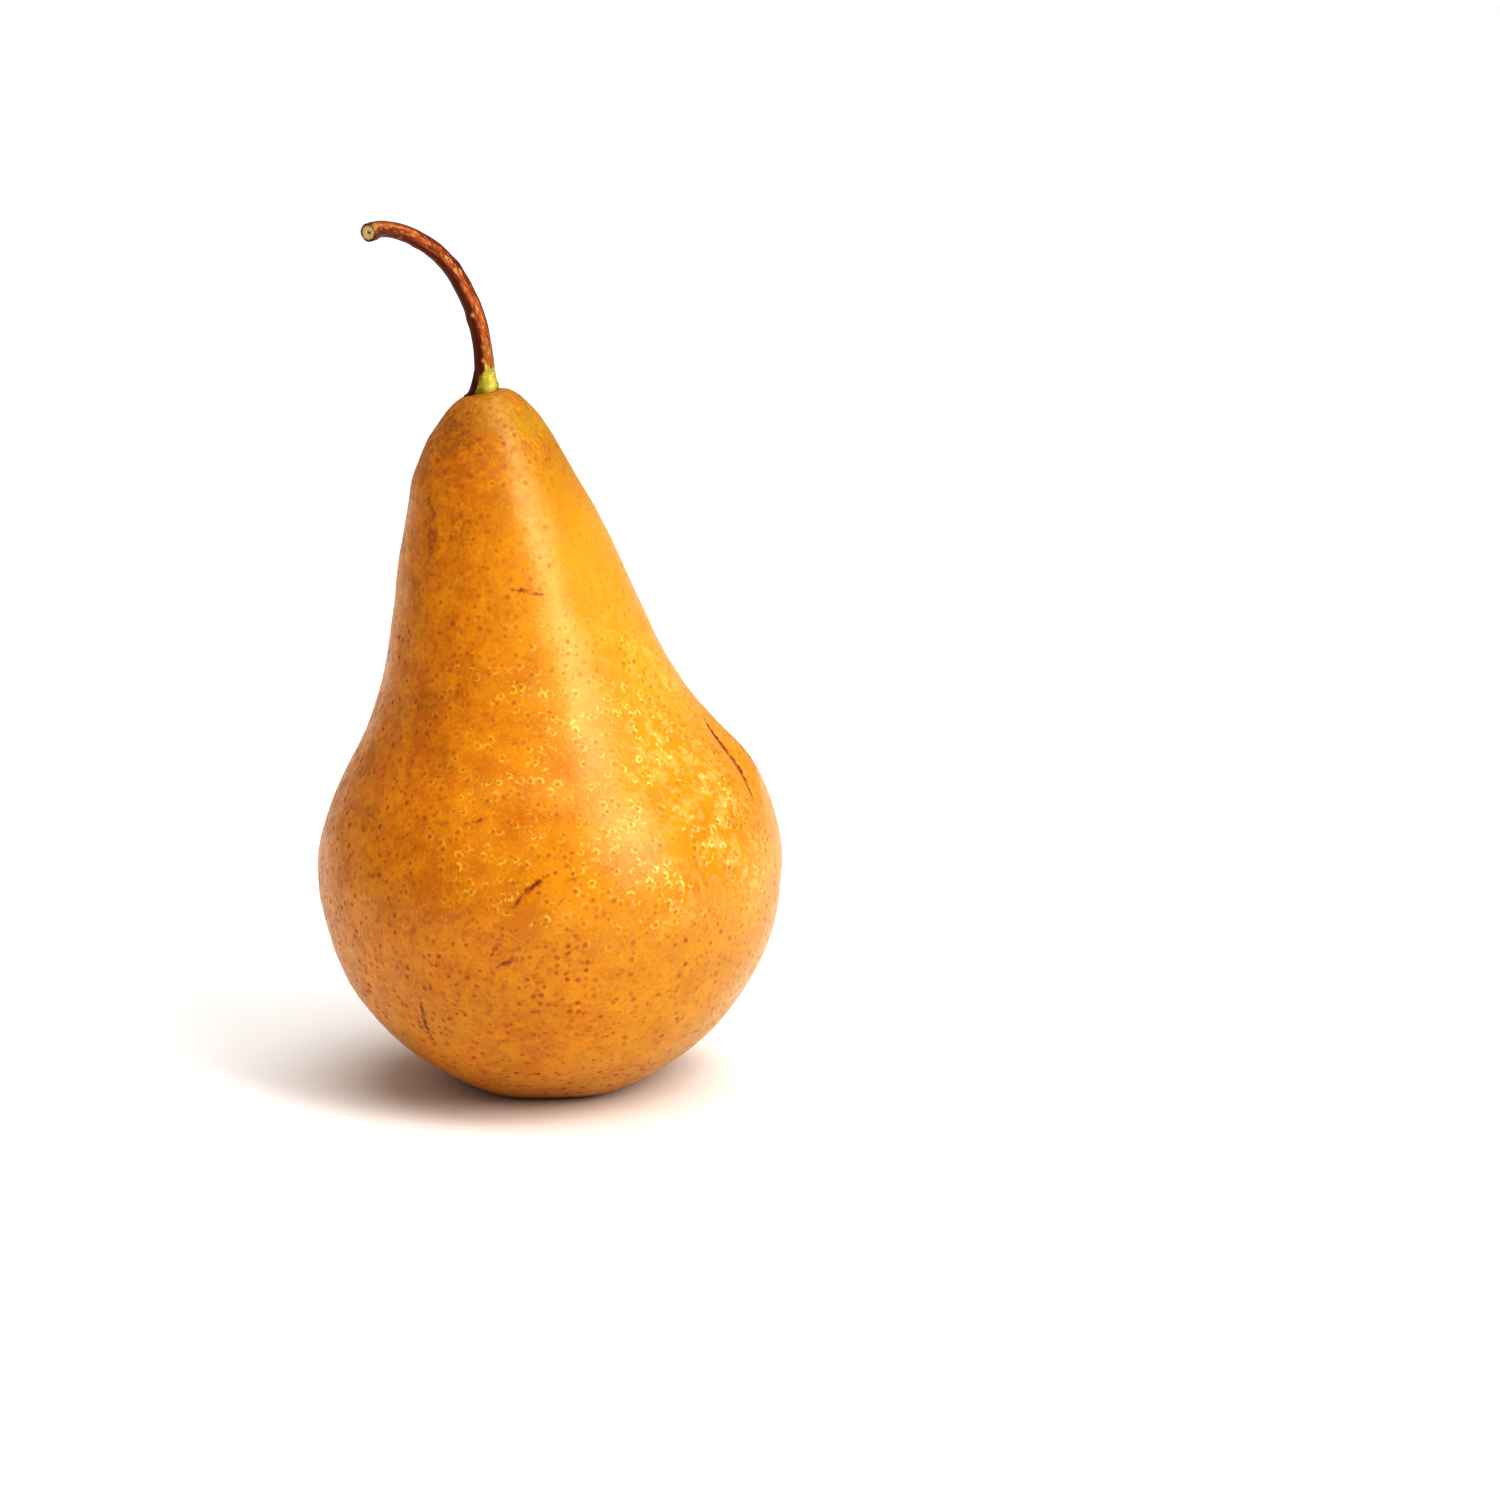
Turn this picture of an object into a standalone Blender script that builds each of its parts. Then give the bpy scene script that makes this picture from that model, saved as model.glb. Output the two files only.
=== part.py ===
"""A ripe Bosc pear, standing upright on its calyx end.

Three pieces, as they grow: the fruit, with flesh and skin in one, the woody stem whose
root sits in a socket in the crown, and the dried calyx in the basin underneath.

The lengths in the constants are millimetres and become metres when a mesh is made.
The front of the fruit is -Y, its right is +X and Z is up. The origin lies under the
belly, on the surface that the fruit stands on. A turn is an angle round the upright
axis, from +X and counter-clockwise from above.
"""

import math

import bmesh
import bpy
from mathutils import Vector

MM = 0.001
GAP = 0.3

# Fruit: a round belly that falls away below its widest ring as half an ellipse
BELLY_RADIUS = 36.0
BELLY_HEIGHT = 35.2
BELLY_DROP = 37.4
BELLY_RINGS = 13

# Underside: the flat lip that the fruit stands on, and the basin inside it
LIP_INNER_RADIUS = 9.2
LIP_OUTER_RADIUS = 10.8
LIP_ROUNDING_END = 16.0
LIP_ROUNDING_SHARES = (0.3, 0.62)
BASIN_DEPTH = 6.2
BASIN_RINGS = 7
CALYX_SOCKET_RADIUS = 3.3
CALYX_SOCKET_MIDDLE = 7.4
CALYX_SOCKET_TOP = 9.0

# Shoulder and neck: the radius at each height, from a place on the belly to the crown's edge
NECK_RADII = (
    (28.0, 35.4), (35.2, 36.0), (42.0, 34.7), (49.0, 31.6), (56.0, 26.8), (64.0, 22.6),
    (75.0, 18.9), (87.0, 15.25), (95.0, 12.3), (102.0, 8.75), (104.4, 6.9), (106.1, 5.45),
)
NECK_RINGS = 30

# Crown: a low dome round the stem, higher on the right than on the left
CROWN_RADIUS = 5.45
CROWN_TOP = 107.7
CROWN_DROP = 1.7
CROWN_ROUNDNESS = 3.2
CROWN_RING_RADII = (4.7, 4.0, 3.3, 2.5)
CROWN_TILT = 0.23
CROWN_TILT_START = 92.0
CROWN_TILT_END = 104.0
STEM_SOCKET_RADIUS = 1.8
STEM_SOCKET_MIDDLE = 105.2
STEM_SOCKET_FLOOR = 102.2

# The neck leans to the left and a little to the back as it rises
LEAN_LEFT = (
    (34.0, 0.0), (44.0, -0.1), (50.0, 0.1), (56.0, 1.2), (66.0, 3.3), (82.0, 6.0), (90.0, 7.2),
    (96.0, 8.8), (102.0, 9.9), (106.0, 9.8), (110.0, 9.8),
)
LEAN_BACK = ((34.0, 0.0), (56.0, 0.8), (82.0, 2.4), (96.0, 3.2), (102.0, 3.5), (106.0, 3.5), (110.0, 3.5))

# No fruit is a true solid of revolution: slow swellings round it, as shares of its radius
OVAL_SHARE = 0.01
THREE_LOBE_SHARE = 0.009

# Five uneven ribs on the lip and in the basin, which fade out up the belly
BASIN_RIBS = 5
BASIN_RIB_HEIGHT = 0.4
BASIN_RIB_DRIFT = 0.8
BASIN_RIB_FULL_RADIUS = 8.0
BASIN_RIB_FADE_START = 3.0
BASIN_RIB_FADE_END = 14.0

# A growth crease on the right flank, between two heights, that turns as it descends
CREASE_TOP = 62.0
CREASE_BOTTOM = 43.0
CREASE_TURN_TOP = math.radians(-2.0)
CREASE_TURN_BOTTOM = math.radians(-18.0)
CREASE_DEPTH = 0.5
CREASE_HALF_WIDTH = math.radians(4.5)
CREASE_BULGE = 0.7
CREASE_BULGE_AWAY = math.radians(12.0)
CREASE_BULGE_HALF_WIDTH = math.radians(11.0)

# Stem: the centre line of its free length, from the top of the collar to the cut end
STEM_PATH = (
    (-9.5, 3.5, 111.4), (-9.9, 3.6, 115.2), (-10.7, 3.4, 119.0), (-11.9, 2.9, 122.3),
    (-13.7, 1.8, 126.0), (-16.1, 0.2, 129.2), (-19.0, -1.7, 131.6), (-21.8, -3.9, 133.1),
    (-24.3, -6.6, 133.8), (-25.8, -9.8, 133.7),
)
STEM_SEGMENTS = 14
ROOT_RADIUS = 1.5

# Stem radius at shares of the free length, from the top of the collar to the cut end
STEM_RADII = (
    (0.0, 1.55), (0.08, 1.45), (0.3, 1.37), (0.6, 1.28), (0.85, 1.2), (0.93, 1.26), (0.97, 1.4), (1.0, 1.34),
)
STEM_RINGS = 32
CUT_FACE_SHARE = 0.72
CUT_FACE_RISE = 0.12

# Low knots on the stem, as (share of the free length, turn in degrees, height)
STEM_KNOTS = ((0.22, 200.0, 0.12), (0.47, 20.0, 0.14), (0.68, 160.0, 0.1))
STEM_KNOT_HALF_LENGTH = 0.03

# Collar: where the stem flares on to the crown, with a woody heel at the back left
COLLAR_RADIUS = 2.05
COLLAR_EDGE = 0.55
COLLAR_SHARES = (0.2, 0.45, 0.72)
COLLAR_FLARE = 0.5
COLLAR_SHIFT = 0.35
HEEL_TURN = math.radians(168.0)
HEEL_REACH = 1.25
HEEL_NARROWNESS = 3.0

# Calyx: a cup in its own socket, with five dried sepals that spread, then curl in again
CALYX_RADIUS = 3.0
CALYX_TOP = 8.7
CALYX_SHOULDER = 7.3
CUP_FLOOR_RINGS = ((0.9, 7.1), (1.8, 6.9))
THROAT_RADIUS = 2.7
THROAT_HEIGHT = 6.4
SEPALS = 5
SEPAL_SEGMENTS = 10
SEPAL_LENGTH = 4.8
SEPAL_SHARES = (0.0, 0.25, 0.5, 0.75, 1.0)
SEPAL_POINT = 0.8
NOTCH_LENGTH = 1.2
SEPAL_THICKNESS = 0.65
SEPAL_SPREAD = math.radians(46.0)
SEPAL_CURL = math.radians(-26.0)
SEPAL_WARP = math.radians(9.0)

FRUIT_SEGMENTS = 72
CURVE_STEPS = 20


def ease(value, start, end):
    """Go from 0 at start to 1 at end, level at both ends."""
    share = min(1.0, max(0.0, (value - start) / (end - start)))
    return share * share * (3.0 - 2.0 * share)


def station_slope(stations, index):
    """The slope at a station, from its neighbours."""
    before = stations[max(0, index - 1)]
    after = stations[min(len(stations) - 1, index + 1)]
    return (after[1] - before[1]) / (after[0] - before[0])


def read_stations(stations, place):
    """Read a smooth curve through (place, value) stations."""
    index = 0
    while index < len(stations) - 2 and place > stations[index + 1][0]:
        index += 1
    (start, low), (end, high) = stations[index], stations[index + 1]
    width = end - start
    share = min(1.0, max(0.0, (place - start) / width))
    leave = station_slope(stations, index) * width
    arrive = station_slope(stations, index + 1) * width
    step = ease(share, 0.0, 1.0)
    bend = share * (1.0 - share) * (leave * (1.0 - share) - arrive * share)
    return low + (high - low) * step + bend


def smooth_curve(points, steps):
    """Read steps + 1 points, evenly spaced by length, from a smooth curve through the given ones."""
    points = [Vector(point) for point in points]
    first = points[0] * 2 - points[1]
    last = points[-1] * 2 - points[-2]
    points = [first] + points + [last]
    fine = []
    for before, start, end, after in zip(points, points[1:], points[2:], points[3:]):
        for part in range(CURVE_STEPS):
            share = part / CURVE_STEPS
            fine.append(0.5 * (
                2 * start
                + (end - before) * share
                + (2 * before - 5 * start + 4 * end - after) * share ** 2
                + (3 * start - before - 3 * end + after) * share ** 3
            ))
    fine.append(points[-2])
    lengths = [0.0]
    for start, end in zip(fine, fine[1:]):
        lengths.append(lengths[-1] + (end - start).length)
    curve = []
    index = 0
    for step in range(steps + 1):
        wanted = lengths[-1] * step / steps
        while index < len(fine) - 2 and lengths[index + 1] < wanted:
            index += 1
        share = (wanted - lengths[index]) / (lengths[index + 1] - lengths[index])
        curve.append(fine[index].lerp(fine[index + 1], share))
    return curve


def make_mesh(name, rings, bottom, top, colour, roughness):
    """Join closed rings of points into one skin, closed at both ends by a point."""
    shape = bmesh.new()
    loops = [[shape.verts.new(point * MM) for point in ring] for ring in rings]
    for lower, upper in zip(loops, loops[1:]):
        for index in range(len(lower)):
            shape.faces.new((lower[index - 1], lower[index], upper[index], upper[index - 1]))
    for loop, centre in ((loops[0][::-1], bottom), (loops[-1], top)):
        tip = shape.verts.new(centre * MM)
        for start, end in zip(loop, loop[1:] + loop[:1]):
            shape.faces.new((start, end, tip))
    mesh = bpy.data.meshes.new(name)
    shape.to_mesh(mesh)
    shape.free()
    mesh.shade_smooth()
    mesh.set_sharp_from_angle(angle=math.radians(50.0))
    mesh.materials.append(make_material(name, colour, roughness))
    piece = bpy.data.objects.new(name, mesh)
    bpy.context.collection.objects.link(piece)
    return piece


def make_material(name, colour, roughness):
    """A plain finish for one piece."""
    material = bpy.data.materials.new(name)
    material.use_nodes = True
    shader = material.node_tree.nodes["Principled BSDF"]
    shader.inputs["Base Color"].default_value = (*colour, 1.0)
    shader.inputs["Roughness"].default_value = roughness
    shader.inputs["Metallic"].default_value = 0.0
    return material


def underside_outline():
    """From the calyx socket over the basin and the flat lip, as (radius, height)."""
    outline = [(CALYX_SOCKET_RADIUS, CALYX_SOCKET_TOP), (CALYX_SOCKET_RADIUS, CALYX_SOCKET_MIDDLE)]
    for step in range(BASIN_RINGS + 1):
        share = step / BASIN_RINGS
        radius = CALYX_SOCKET_RADIUS + (LIP_INNER_RADIUS - CALYX_SOCKET_RADIUS) * share
        outline.append((radius, BASIN_DEPTH * 0.5 * (1.0 + math.cos(math.pi * share))))
    outline.append((LIP_OUTER_RADIUS, 0.0))
    return outline


def belly_outline():
    """From the lip up to the widest ring: a rounded edge, then the ellipse."""
    side = math.sqrt(1.0 - (LIP_ROUNDING_END / BELLY_RADIUS) ** 2)
    end_height = BELLY_HEIGHT - BELLY_DROP * side
    end_slope = BELLY_DROP * LIP_ROUNDING_END / BELLY_RADIUS ** 2 / side
    width = LIP_ROUNDING_END - LIP_OUTER_RADIUS
    power = end_slope * width / end_height
    outline = []
    for share in LIP_ROUNDING_SHARES:
        outline.append((LIP_OUTER_RADIUS + width * share, end_height * share ** power))
    start = math.asin(LIP_ROUNDING_END / BELLY_RADIUS)
    for step in range(BELLY_RINGS + 1):
        angle = start + (math.pi / 2 - start) * step / BELLY_RINGS
        outline.append((BELLY_RADIUS * math.sin(angle), BELLY_HEIGHT - BELLY_DROP * math.cos(angle)))
    return outline


def crown_height(radius):
    """How high the dome of the crown stands at a distance from the stem's axis."""
    return CROWN_TOP - CROWN_DROP * (radius / CROWN_RADIUS) ** CROWN_ROUNDNESS


def neck_outline():
    """From above the widest ring to the edge of the crown's dome."""
    top = NECK_RADII[-1][0]
    heights = [BELLY_HEIGHT + (top - BELLY_HEIGHT) * step / NECK_RINGS for step in range(1, NECK_RINGS + 1)]
    return [(read_stations(NECK_RADII, height), height) for height in heights]


def crown_outline():
    """From the edge of the dome inwards, and down the stem's socket."""
    radii = (*CROWN_RING_RADII, STEM_SOCKET_RADIUS)
    outline = [(radius, crown_height(radius)) for radius in radii]
    outline.append((STEM_SOCKET_RADIUS, STEM_SOCKET_MIDDLE))
    outline.append((STEM_SOCKET_RADIUS, STEM_SOCKET_FLOOR))
    return outline


def centre_line(height):
    """Where the middle of the fruit lies at a height, as its neck leans."""
    return -read_stations(LEAN_LEFT, height), read_stations(LEAN_BACK, height)


def swelling(turn, radius, height):
    """How far the skin stands out of the true round, from its lobes, ribs and crease."""
    lobes = OVAL_SHARE * math.sin(2 * turn) + THREE_LOBE_SHARE * math.sin(3 * turn)
    out = radius * lobes
    rib_share = ease(radius, CALYX_SOCKET_RADIUS, BASIN_RIB_FULL_RADIUS)
    rib_share *= 1.0 - ease(height, BASIN_RIB_FADE_START, BASIN_RIB_FADE_END)
    drift = BASIN_RIB_DRIFT * math.sin(turn + 1.0)
    out += BASIN_RIB_HEIGHT * rib_share * math.sin(BASIN_RIBS * turn + drift)
    share = (CREASE_TOP - height) / (CREASE_TOP - CREASE_BOTTOM)
    if 0.0 < share < 1.0:
        middle = CREASE_TURN_TOP + (CREASE_TURN_BOTTOM - CREASE_TURN_TOP) * share
        away = (turn - middle + math.pi) % math.tau - math.pi
        strength = math.sin(math.pi * share) ** 2
        groove = math.exp(-(away / CREASE_HALF_WIDTH) ** 2)
        fold = math.exp(-((away - CREASE_BULGE_AWAY) / CREASE_BULGE_HALF_WIDTH) ** 2)
        out += strength * (CREASE_BULGE * fold - CREASE_DEPTH * groove)
    return out


def skin_point(turn, radius, height):
    """The point of the skin on one ring of the outline."""
    reach = radius + swelling(turn, radius, height)
    middle_x, middle_y = centre_line(height)
    across = reach * math.cos(turn)
    tilt = CROWN_TILT * across * ease(height, CROWN_TILT_START, CROWN_TILT_END)
    return Vector((middle_x + across, middle_y + reach * math.sin(turn), height + tilt))


def build_fruit():
    outline = underside_outline() + belly_outline() + neck_outline() + crown_outline()
    turns = [math.tau * index / FRUIT_SEGMENTS for index in range(FRUIT_SEGMENTS)]
    rings = [[skin_point(turn, radius, height) for turn in turns] for radius, height in outline]
    bottom = Vector((0.0, 0.0, CALYX_SOCKET_TOP))
    top = skin_point(0.0, 0.0, STEM_SOCKET_FLOOR)
    return make_mesh("fruit", rings, bottom, top, (0.72, 0.27, 0.03), 0.42)


def crown_ring(axis, shift, radius, heel, rise):
    """A ring of the stem that follows the crown under it, at a rise above the skin."""
    ring = []
    for index in range(STEM_SEGMENTS):
        turn = math.tau * index / STEM_SEGMENTS
        reach = radius + heel * max(0.0, math.cos(turn - HEEL_TURN)) ** HEEL_NARROWNESS
        across = shift + reach * math.cos(turn)
        back = reach * math.sin(turn)
        height = crown_height(math.hypot(across, back)) + CROWN_TILT * across + rise
        ring.append(Vector((axis.x + across, axis.y + back, height)))
    return ring


def shaft_ring(centre, direction, radius, share):
    """A ring of the free stem, square to its centre line, with its few low knots."""
    across = Vector((0.0, 1.0, 0.0)).cross(direction).normalized()
    along = direction.cross(across)
    ring = []
    for index in range(STEM_SEGMENTS):
        turn = math.tau * index / STEM_SEGMENTS
        reach = radius
        for place, side, height in STEM_KNOTS:
            near = math.exp(-((share - place) / STEM_KNOT_HALF_LENGTH) ** 2)
            facing = max(0.0, math.cos(turn - math.radians(side)))
            reach += height * near * facing
        ring.append(centre + across * (reach * math.cos(turn)) + along * (reach * math.sin(turn)))
    return ring


def between(wide, narrow, share):
    """A ring of the collar on its way from its wide foot to the round shaft."""
    ring = []
    for foot, shaft in zip(wide, narrow):
        point = foot.lerp(shaft, share ** COLLAR_FLARE)
        point.z = foot.z + (shaft.z - foot.z) * share
        ring.append(point)
    return ring


def build_stem():
    free = smooth_curve(STEM_PATH, STEM_RINGS)
    root_centre = Vector((*centre_line(CROWN_TOP), STEM_SOCKET_FLOOR + 2 * GAP))
    up = Vector((0.0, 0.0, 1.0))
    rings = []
    for height in (root_centre.z, STEM_SOCKET_MIDDLE):
        centre = Vector((root_centre.x, root_centre.y, height))
        rings.append(shaft_ring(centre, up, ROOT_RADIUS, -1.0))
    rings.append(crown_ring(root_centre, 0.0, ROOT_RADIUS, 0.0, GAP))
    rings.append(crown_ring(root_centre, COLLAR_SHIFT, COLLAR_RADIUS, HEEL_REACH, GAP))
    rings.append(crown_ring(root_centre, COLLAR_SHIFT, COLLAR_RADIUS, HEEL_REACH, GAP + COLLAR_EDGE))
    foot = rings[-1]
    shaft = shaft_ring(free[0], (free[1] - free[0]).normalized(), STEM_RADII[0][1], 0.0)
    rings += [between(foot, shaft, share) for share in COLLAR_SHARES]
    for index, centre in enumerate(free):
        before = free[max(0, index - 1)]
        after = free[min(len(free) - 1, index + 1)]
        share = index / STEM_RINGS
        radius = read_stations(STEM_RADII, share)
        rings.append(shaft_ring(centre, (after - before).normalized(), radius, share))
    end_direction = (free[-1] - free[-2]).normalized()
    cut_centre = free[-1] + end_direction * CUT_FACE_RISE
    rings.append([cut_centre + (point - free[-1]) * CUT_FACE_SHARE for point in rings[-1]])
    return make_mesh("stem", rings, root_centre, free[-1], (0.23, 0.07, 0.02), 0.5)


def sepal_length(turn):
    """How long the calyx's rim is in a direction: long at a sepal's tip, short at a notch."""
    across = abs((turn * SEPALS / math.tau) % 1.0 - 0.5) * 2.0
    return NOTCH_LENGTH + (SEPAL_LENGTH - NOTCH_LENGTH) * (1.0 - across) ** SEPAL_POINT


def calyx_point(turn, share, thickness):
    """A point of the calyx's wall, which bends as an arc from its throat to a sepal's rim."""
    length = sepal_length(turn)
    warp = SEPAL_WARP * math.sin(2 * turn + 0.6)
    bend = SEPAL_CURL - SEPAL_SPREAD
    angle = SEPAL_SPREAD + warp + bend * share
    out = length * (math.cos(SEPAL_SPREAD + warp) - math.cos(angle)) / bend
    drop = length * (math.sin(angle) - math.sin(SEPAL_SPREAD + warp)) / bend
    reach = THROAT_RADIUS + out - thickness * math.cos(angle)
    height = THROAT_HEIGHT - drop - thickness * math.sin(angle)
    return Vector((reach * math.cos(turn), reach * math.sin(turn), height))


def round_ring(radius, height, turns):
    """A level ring round the upright axis."""
    return [Vector((radius * math.cos(turn), radius * math.sin(turn), height)) for turn in turns]


def build_calyx():
    segments = SEPALS * SEPAL_SEGMENTS
    turns = [math.tau * index / segments for index in range(segments)]
    rings = [round_ring(radius, height, turns) for radius, height in CUP_FLOOR_RINGS]
    rings += [[calyx_point(turn, share, SEPAL_THICKNESS) for turn in turns] for share in SEPAL_SHARES]
    rings += [[calyx_point(turn, share, 0.0) for turn in turns] for share in reversed(SEPAL_SHARES)]
    rings += [round_ring(CALYX_RADIUS, height, turns) for height in (CALYX_SHOULDER, CALYX_TOP)]
    bottom = Vector((0.0, 0.0, CUP_FLOOR_RINGS[0][1]))
    top = Vector((0.0, 0.0, CALYX_TOP))
    return make_mesh("calyx", rings, bottom, top, (0.05, 0.02, 0.01), 0.8)


def main():
    for old in list(bpy.data.objects):
        bpy.data.objects.remove(old, do_unlink=True)
    build_fruit()
    build_stem()
    build_calyx()


main()
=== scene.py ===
# %% [markdown]
# # A Bosc pear: a leaning outline, a coat of russet, a woody stem
# A Bosc pear keeps a long neck that leans to one side, and its skin is covered by a very thin
# layer of cork, called russet, which gives it a cinnamon-gold colour. This script dresses a
# plain model of one ripe pear. The plain model, the frame, already holds its three pieces at
# their real size: the fruit, the stem and the dried flower underneath. Each gets a much finer
# mesh here, from the same outline, and a finish of its own.
#
# Lengths in the constants are millimetres. +X is the viewer's right, -Y faces the viewer and
# +Z is up. A turn is an angle round the upright axis, from +X and counter-clockwise from above.

# %% Load the frame
import math
from functools import partial

import bpy
import numpy as np
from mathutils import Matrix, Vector, noise


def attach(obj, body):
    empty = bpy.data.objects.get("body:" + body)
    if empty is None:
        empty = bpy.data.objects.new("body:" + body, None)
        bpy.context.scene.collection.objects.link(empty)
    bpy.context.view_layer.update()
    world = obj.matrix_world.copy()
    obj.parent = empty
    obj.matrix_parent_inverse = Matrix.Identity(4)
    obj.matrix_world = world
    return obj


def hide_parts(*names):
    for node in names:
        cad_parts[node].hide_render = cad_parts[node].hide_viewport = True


MM = 0.001
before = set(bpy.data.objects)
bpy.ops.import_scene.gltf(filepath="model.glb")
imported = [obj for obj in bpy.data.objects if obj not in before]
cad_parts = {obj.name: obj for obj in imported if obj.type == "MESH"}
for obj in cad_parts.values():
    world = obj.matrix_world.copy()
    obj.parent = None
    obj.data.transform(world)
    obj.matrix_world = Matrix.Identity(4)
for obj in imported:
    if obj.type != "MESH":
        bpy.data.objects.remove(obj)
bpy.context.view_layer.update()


# %% [markdown]
# ## Two small tools
# Colours are written as on a screen, in sRGB hex, because that is how people read them.
# Blender computes with linear light, so one function turns the one into the other.
#
# A material is a graph of nodes. Adding a node, setting it and linking it is always the same
# three steps, so one function does them all: a value in `inputs` may be a number, a colour,
# or another node, which is then linked. Nearly all of a noise texture's values lie between
# 0.3 and 0.7, so that is the range that the materials stretch. In the constants of a material,
# two numbers are a range, and four are a range and the one that it is stretched to.

# %% Colour and node helpers
SMOOTH = {"interpolation_type": "SMOOTHSTEP"}
RGBA = {"data_type": "RGBA"}
NOISE_RANGE = (0.3, 0.7)


def linear(hex_colour):
    """Turn an sRGB hex colour into the linear RGBA that shaders use."""
    shares = [int(hex_colour[start:start + 2], 16) / 255 for start in (1, 3, 5)]
    light = [share / 12.92 if share <= 0.04045 else ((share + 0.055) / 1.055) ** 2.4 for share in shares]
    return (*light, 1.0)


def add_node(tree, kind, inputs=None, **settings):
    """Add a shader node, apply its settings, then fill its inputs by name or by number."""
    node = tree.nodes.new("ShaderNode" + kind)
    node.location.x = 180 * len(tree.nodes)
    for name, value in settings.items():
        setattr(node, name, value)
    for name, value in (inputs or {}).items():
        named = [socket for socket in node.inputs if socket.enabled and socket.name == name]
        socket = named[0] if named else node.inputs[name]
        if isinstance(value, bpy.types.Node):
            value = next(output for output in value.outputs if output.enabled)
        if isinstance(value, bpy.types.NodeSocket):
            tree.links.new(value, socket)
        else:
            socket.default_value = value
    return node


def span(value, start, end, low=0.0, high=1.0):
    """Inputs of a Map Range node: a value, its range, and the range that this is stretched to."""
    return {0: value, 1: start, 2: end, 3: low, 4: high}


def new_material(name):
    """Start a material without nodes, and give the node function that is tied to it."""
    material = bpy.data.materials.new(name)
    material.use_nodes = True
    material.node_tree.nodes.clear()
    return material, partial(add_node, material.node_tree)


# %% [markdown]
# ## The camera
# The pear was seen from a little above, with a long lens from most of a metre away, which
# keeps both sides of the neck nearly parallel. The camera aims to the right of the pear and
# half way up it, so the pear stands at the left of a square frame.

# %% Camera
CAMERA_PLACE = (30.877, -779.832, 232.506)
CAMERA_AIM = (30.877, -0.336, 52.545)
CAMERA_LENS = 124.68
SENSOR_WIDTH = 36.0


def set_up(data, place, aim):
    """Put a camera or a light at a place in millimetres, so that it faces another place."""
    thing = bpy.data.objects.new(data.name, data)
    bpy.context.collection.objects.link(thing)
    thing.location = Vector(place) * MM
    direction = Vector(aim) * MM - thing.location
    thing.rotation_euler = direction.to_track_quat("-Z", "Y").to_euler()
    return thing


camera_data = bpy.data.cameras.new("camera")
camera_data.lens = CAMERA_LENS
camera_data.sensor_width = SENSOR_WIDTH
camera_data.clip_end = 10.0
camera = set_up(camera_data, CAMERA_PLACE, CAMERA_AIM)
bpy.context.scene.camera = camera
print("Camera looks down by", round(math.degrees(math.pi / 2 - camera.rotation_euler.x), 1), "degrees")


# %% [markdown]
# ## The studio
# The pear stands on a pale sheet under soft light. A wide sun from straight above, blurred as
# through a diffusing cloth, lights pear and sheet evenly, however far back the sheet goes. A
# tall softbox at the front right draws the long highlight on the neck and the belly: an area
# light, because the larger it is, the softer the edge of its highlight. The surround stays
# dim. A bright one would be simpler, but it lays a pale veil over the whole skin, and the
# photographer's print is contrasty, so the view's contrast is raised as well.

# %% Floor, surround and lights
FLOOR_SIZE = 9000.0
FLOOR_COLOUR = "#F8F7F5"
SURROUND_STRENGTH = 0.3
SUN_STRENGTH = 1.42
SUN_BLUR = math.radians(55.0)
SUN_PLACE = (60.0, 40.0, 950.0)
SOFTBOX_PLACE = (575.0, -420.0, 600.0)
SOFTBOX_AIM = (0.0, 0.0, 60.0)
SOFTBOX_WIDTH = 380.0
SOFTBOX_HEIGHT = 800.0
SOFTBOX_POWER = 6.2


def add_light(kind, name, place, aim, **settings):
    """Add a light at a place, facing another, with its own settings."""
    data = bpy.data.lights.new(name, kind)
    for setting, value in settings.items():
        setattr(data, setting, value)
    set_up(data, place, aim)


def add_floor():
    """A large level sheet of matte card, which isn't part of the pear."""
    half = FLOOR_SIZE / 2 * MM
    corners = [(-half, -half, 0), (half, -half, 0), (half, half, 0), (-half, half, 0)]
    mesh = bpy.data.meshes.new("floor")
    mesh.from_pydata(corners, [], [(0, 1, 2, 3)])
    card = bpy.data.materials.new("Matte white card")
    card.use_nodes = True
    shader = card.node_tree.nodes["Principled BSDF"]
    shader.inputs["Base Color"].default_value = linear(FLOOR_COLOUR)
    shader.inputs["Roughness"].default_value = 0.9
    shader.inputs["Specular IOR Level"].default_value = 0.2
    mesh.materials.append(card)
    floor = bpy.data.objects.new("floor", mesh)
    bpy.context.collection.objects.link(floor)


def light_surround():
    """An even dim surround, as from the far walls of a studio."""
    world = bpy.data.worlds.new("studio")
    world.use_nodes = True
    background = world.node_tree.nodes["Background"]
    background.inputs["Color"].default_value = linear("#FFFFFF")
    background.inputs["Strength"].default_value = SURROUND_STRENGTH
    bpy.context.scene.world = world


add_floor()
light_surround()
add_light("SUN", "wide_sun", SUN_PLACE, (0.0, 0.0, 0.0), energy=SUN_STRENGTH, angle=SUN_BLUR)
add_light("AREA", "front_right_softbox", SOFTBOX_PLACE, SOFTBOX_AIM, energy=SOFTBOX_POWER,
          shape="RECTANGLE", size=SOFTBOX_WIDTH * MM, size_y=SOFTBOX_HEIGHT * MM)
bpy.context.scene.view_settings.view_transform = "Standard"
bpy.context.scene.view_settings.look = "High Contrast"


# %% [markdown]
# ## The outline of the fruit
# A pear grows nearly round about its core, so its form is one outline turned about an axis.
# It could be sculpted, or lofted through drawn curves. Here it is a short list of radii at
# given heights, read through a smooth curve, because each number can be checked on a real
# pear with callipers. The belly is half an ellipse, the basin underneath a cosine. At both
# ends a few points more turn the skin inward, where the calyx and the stem hide it.

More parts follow.
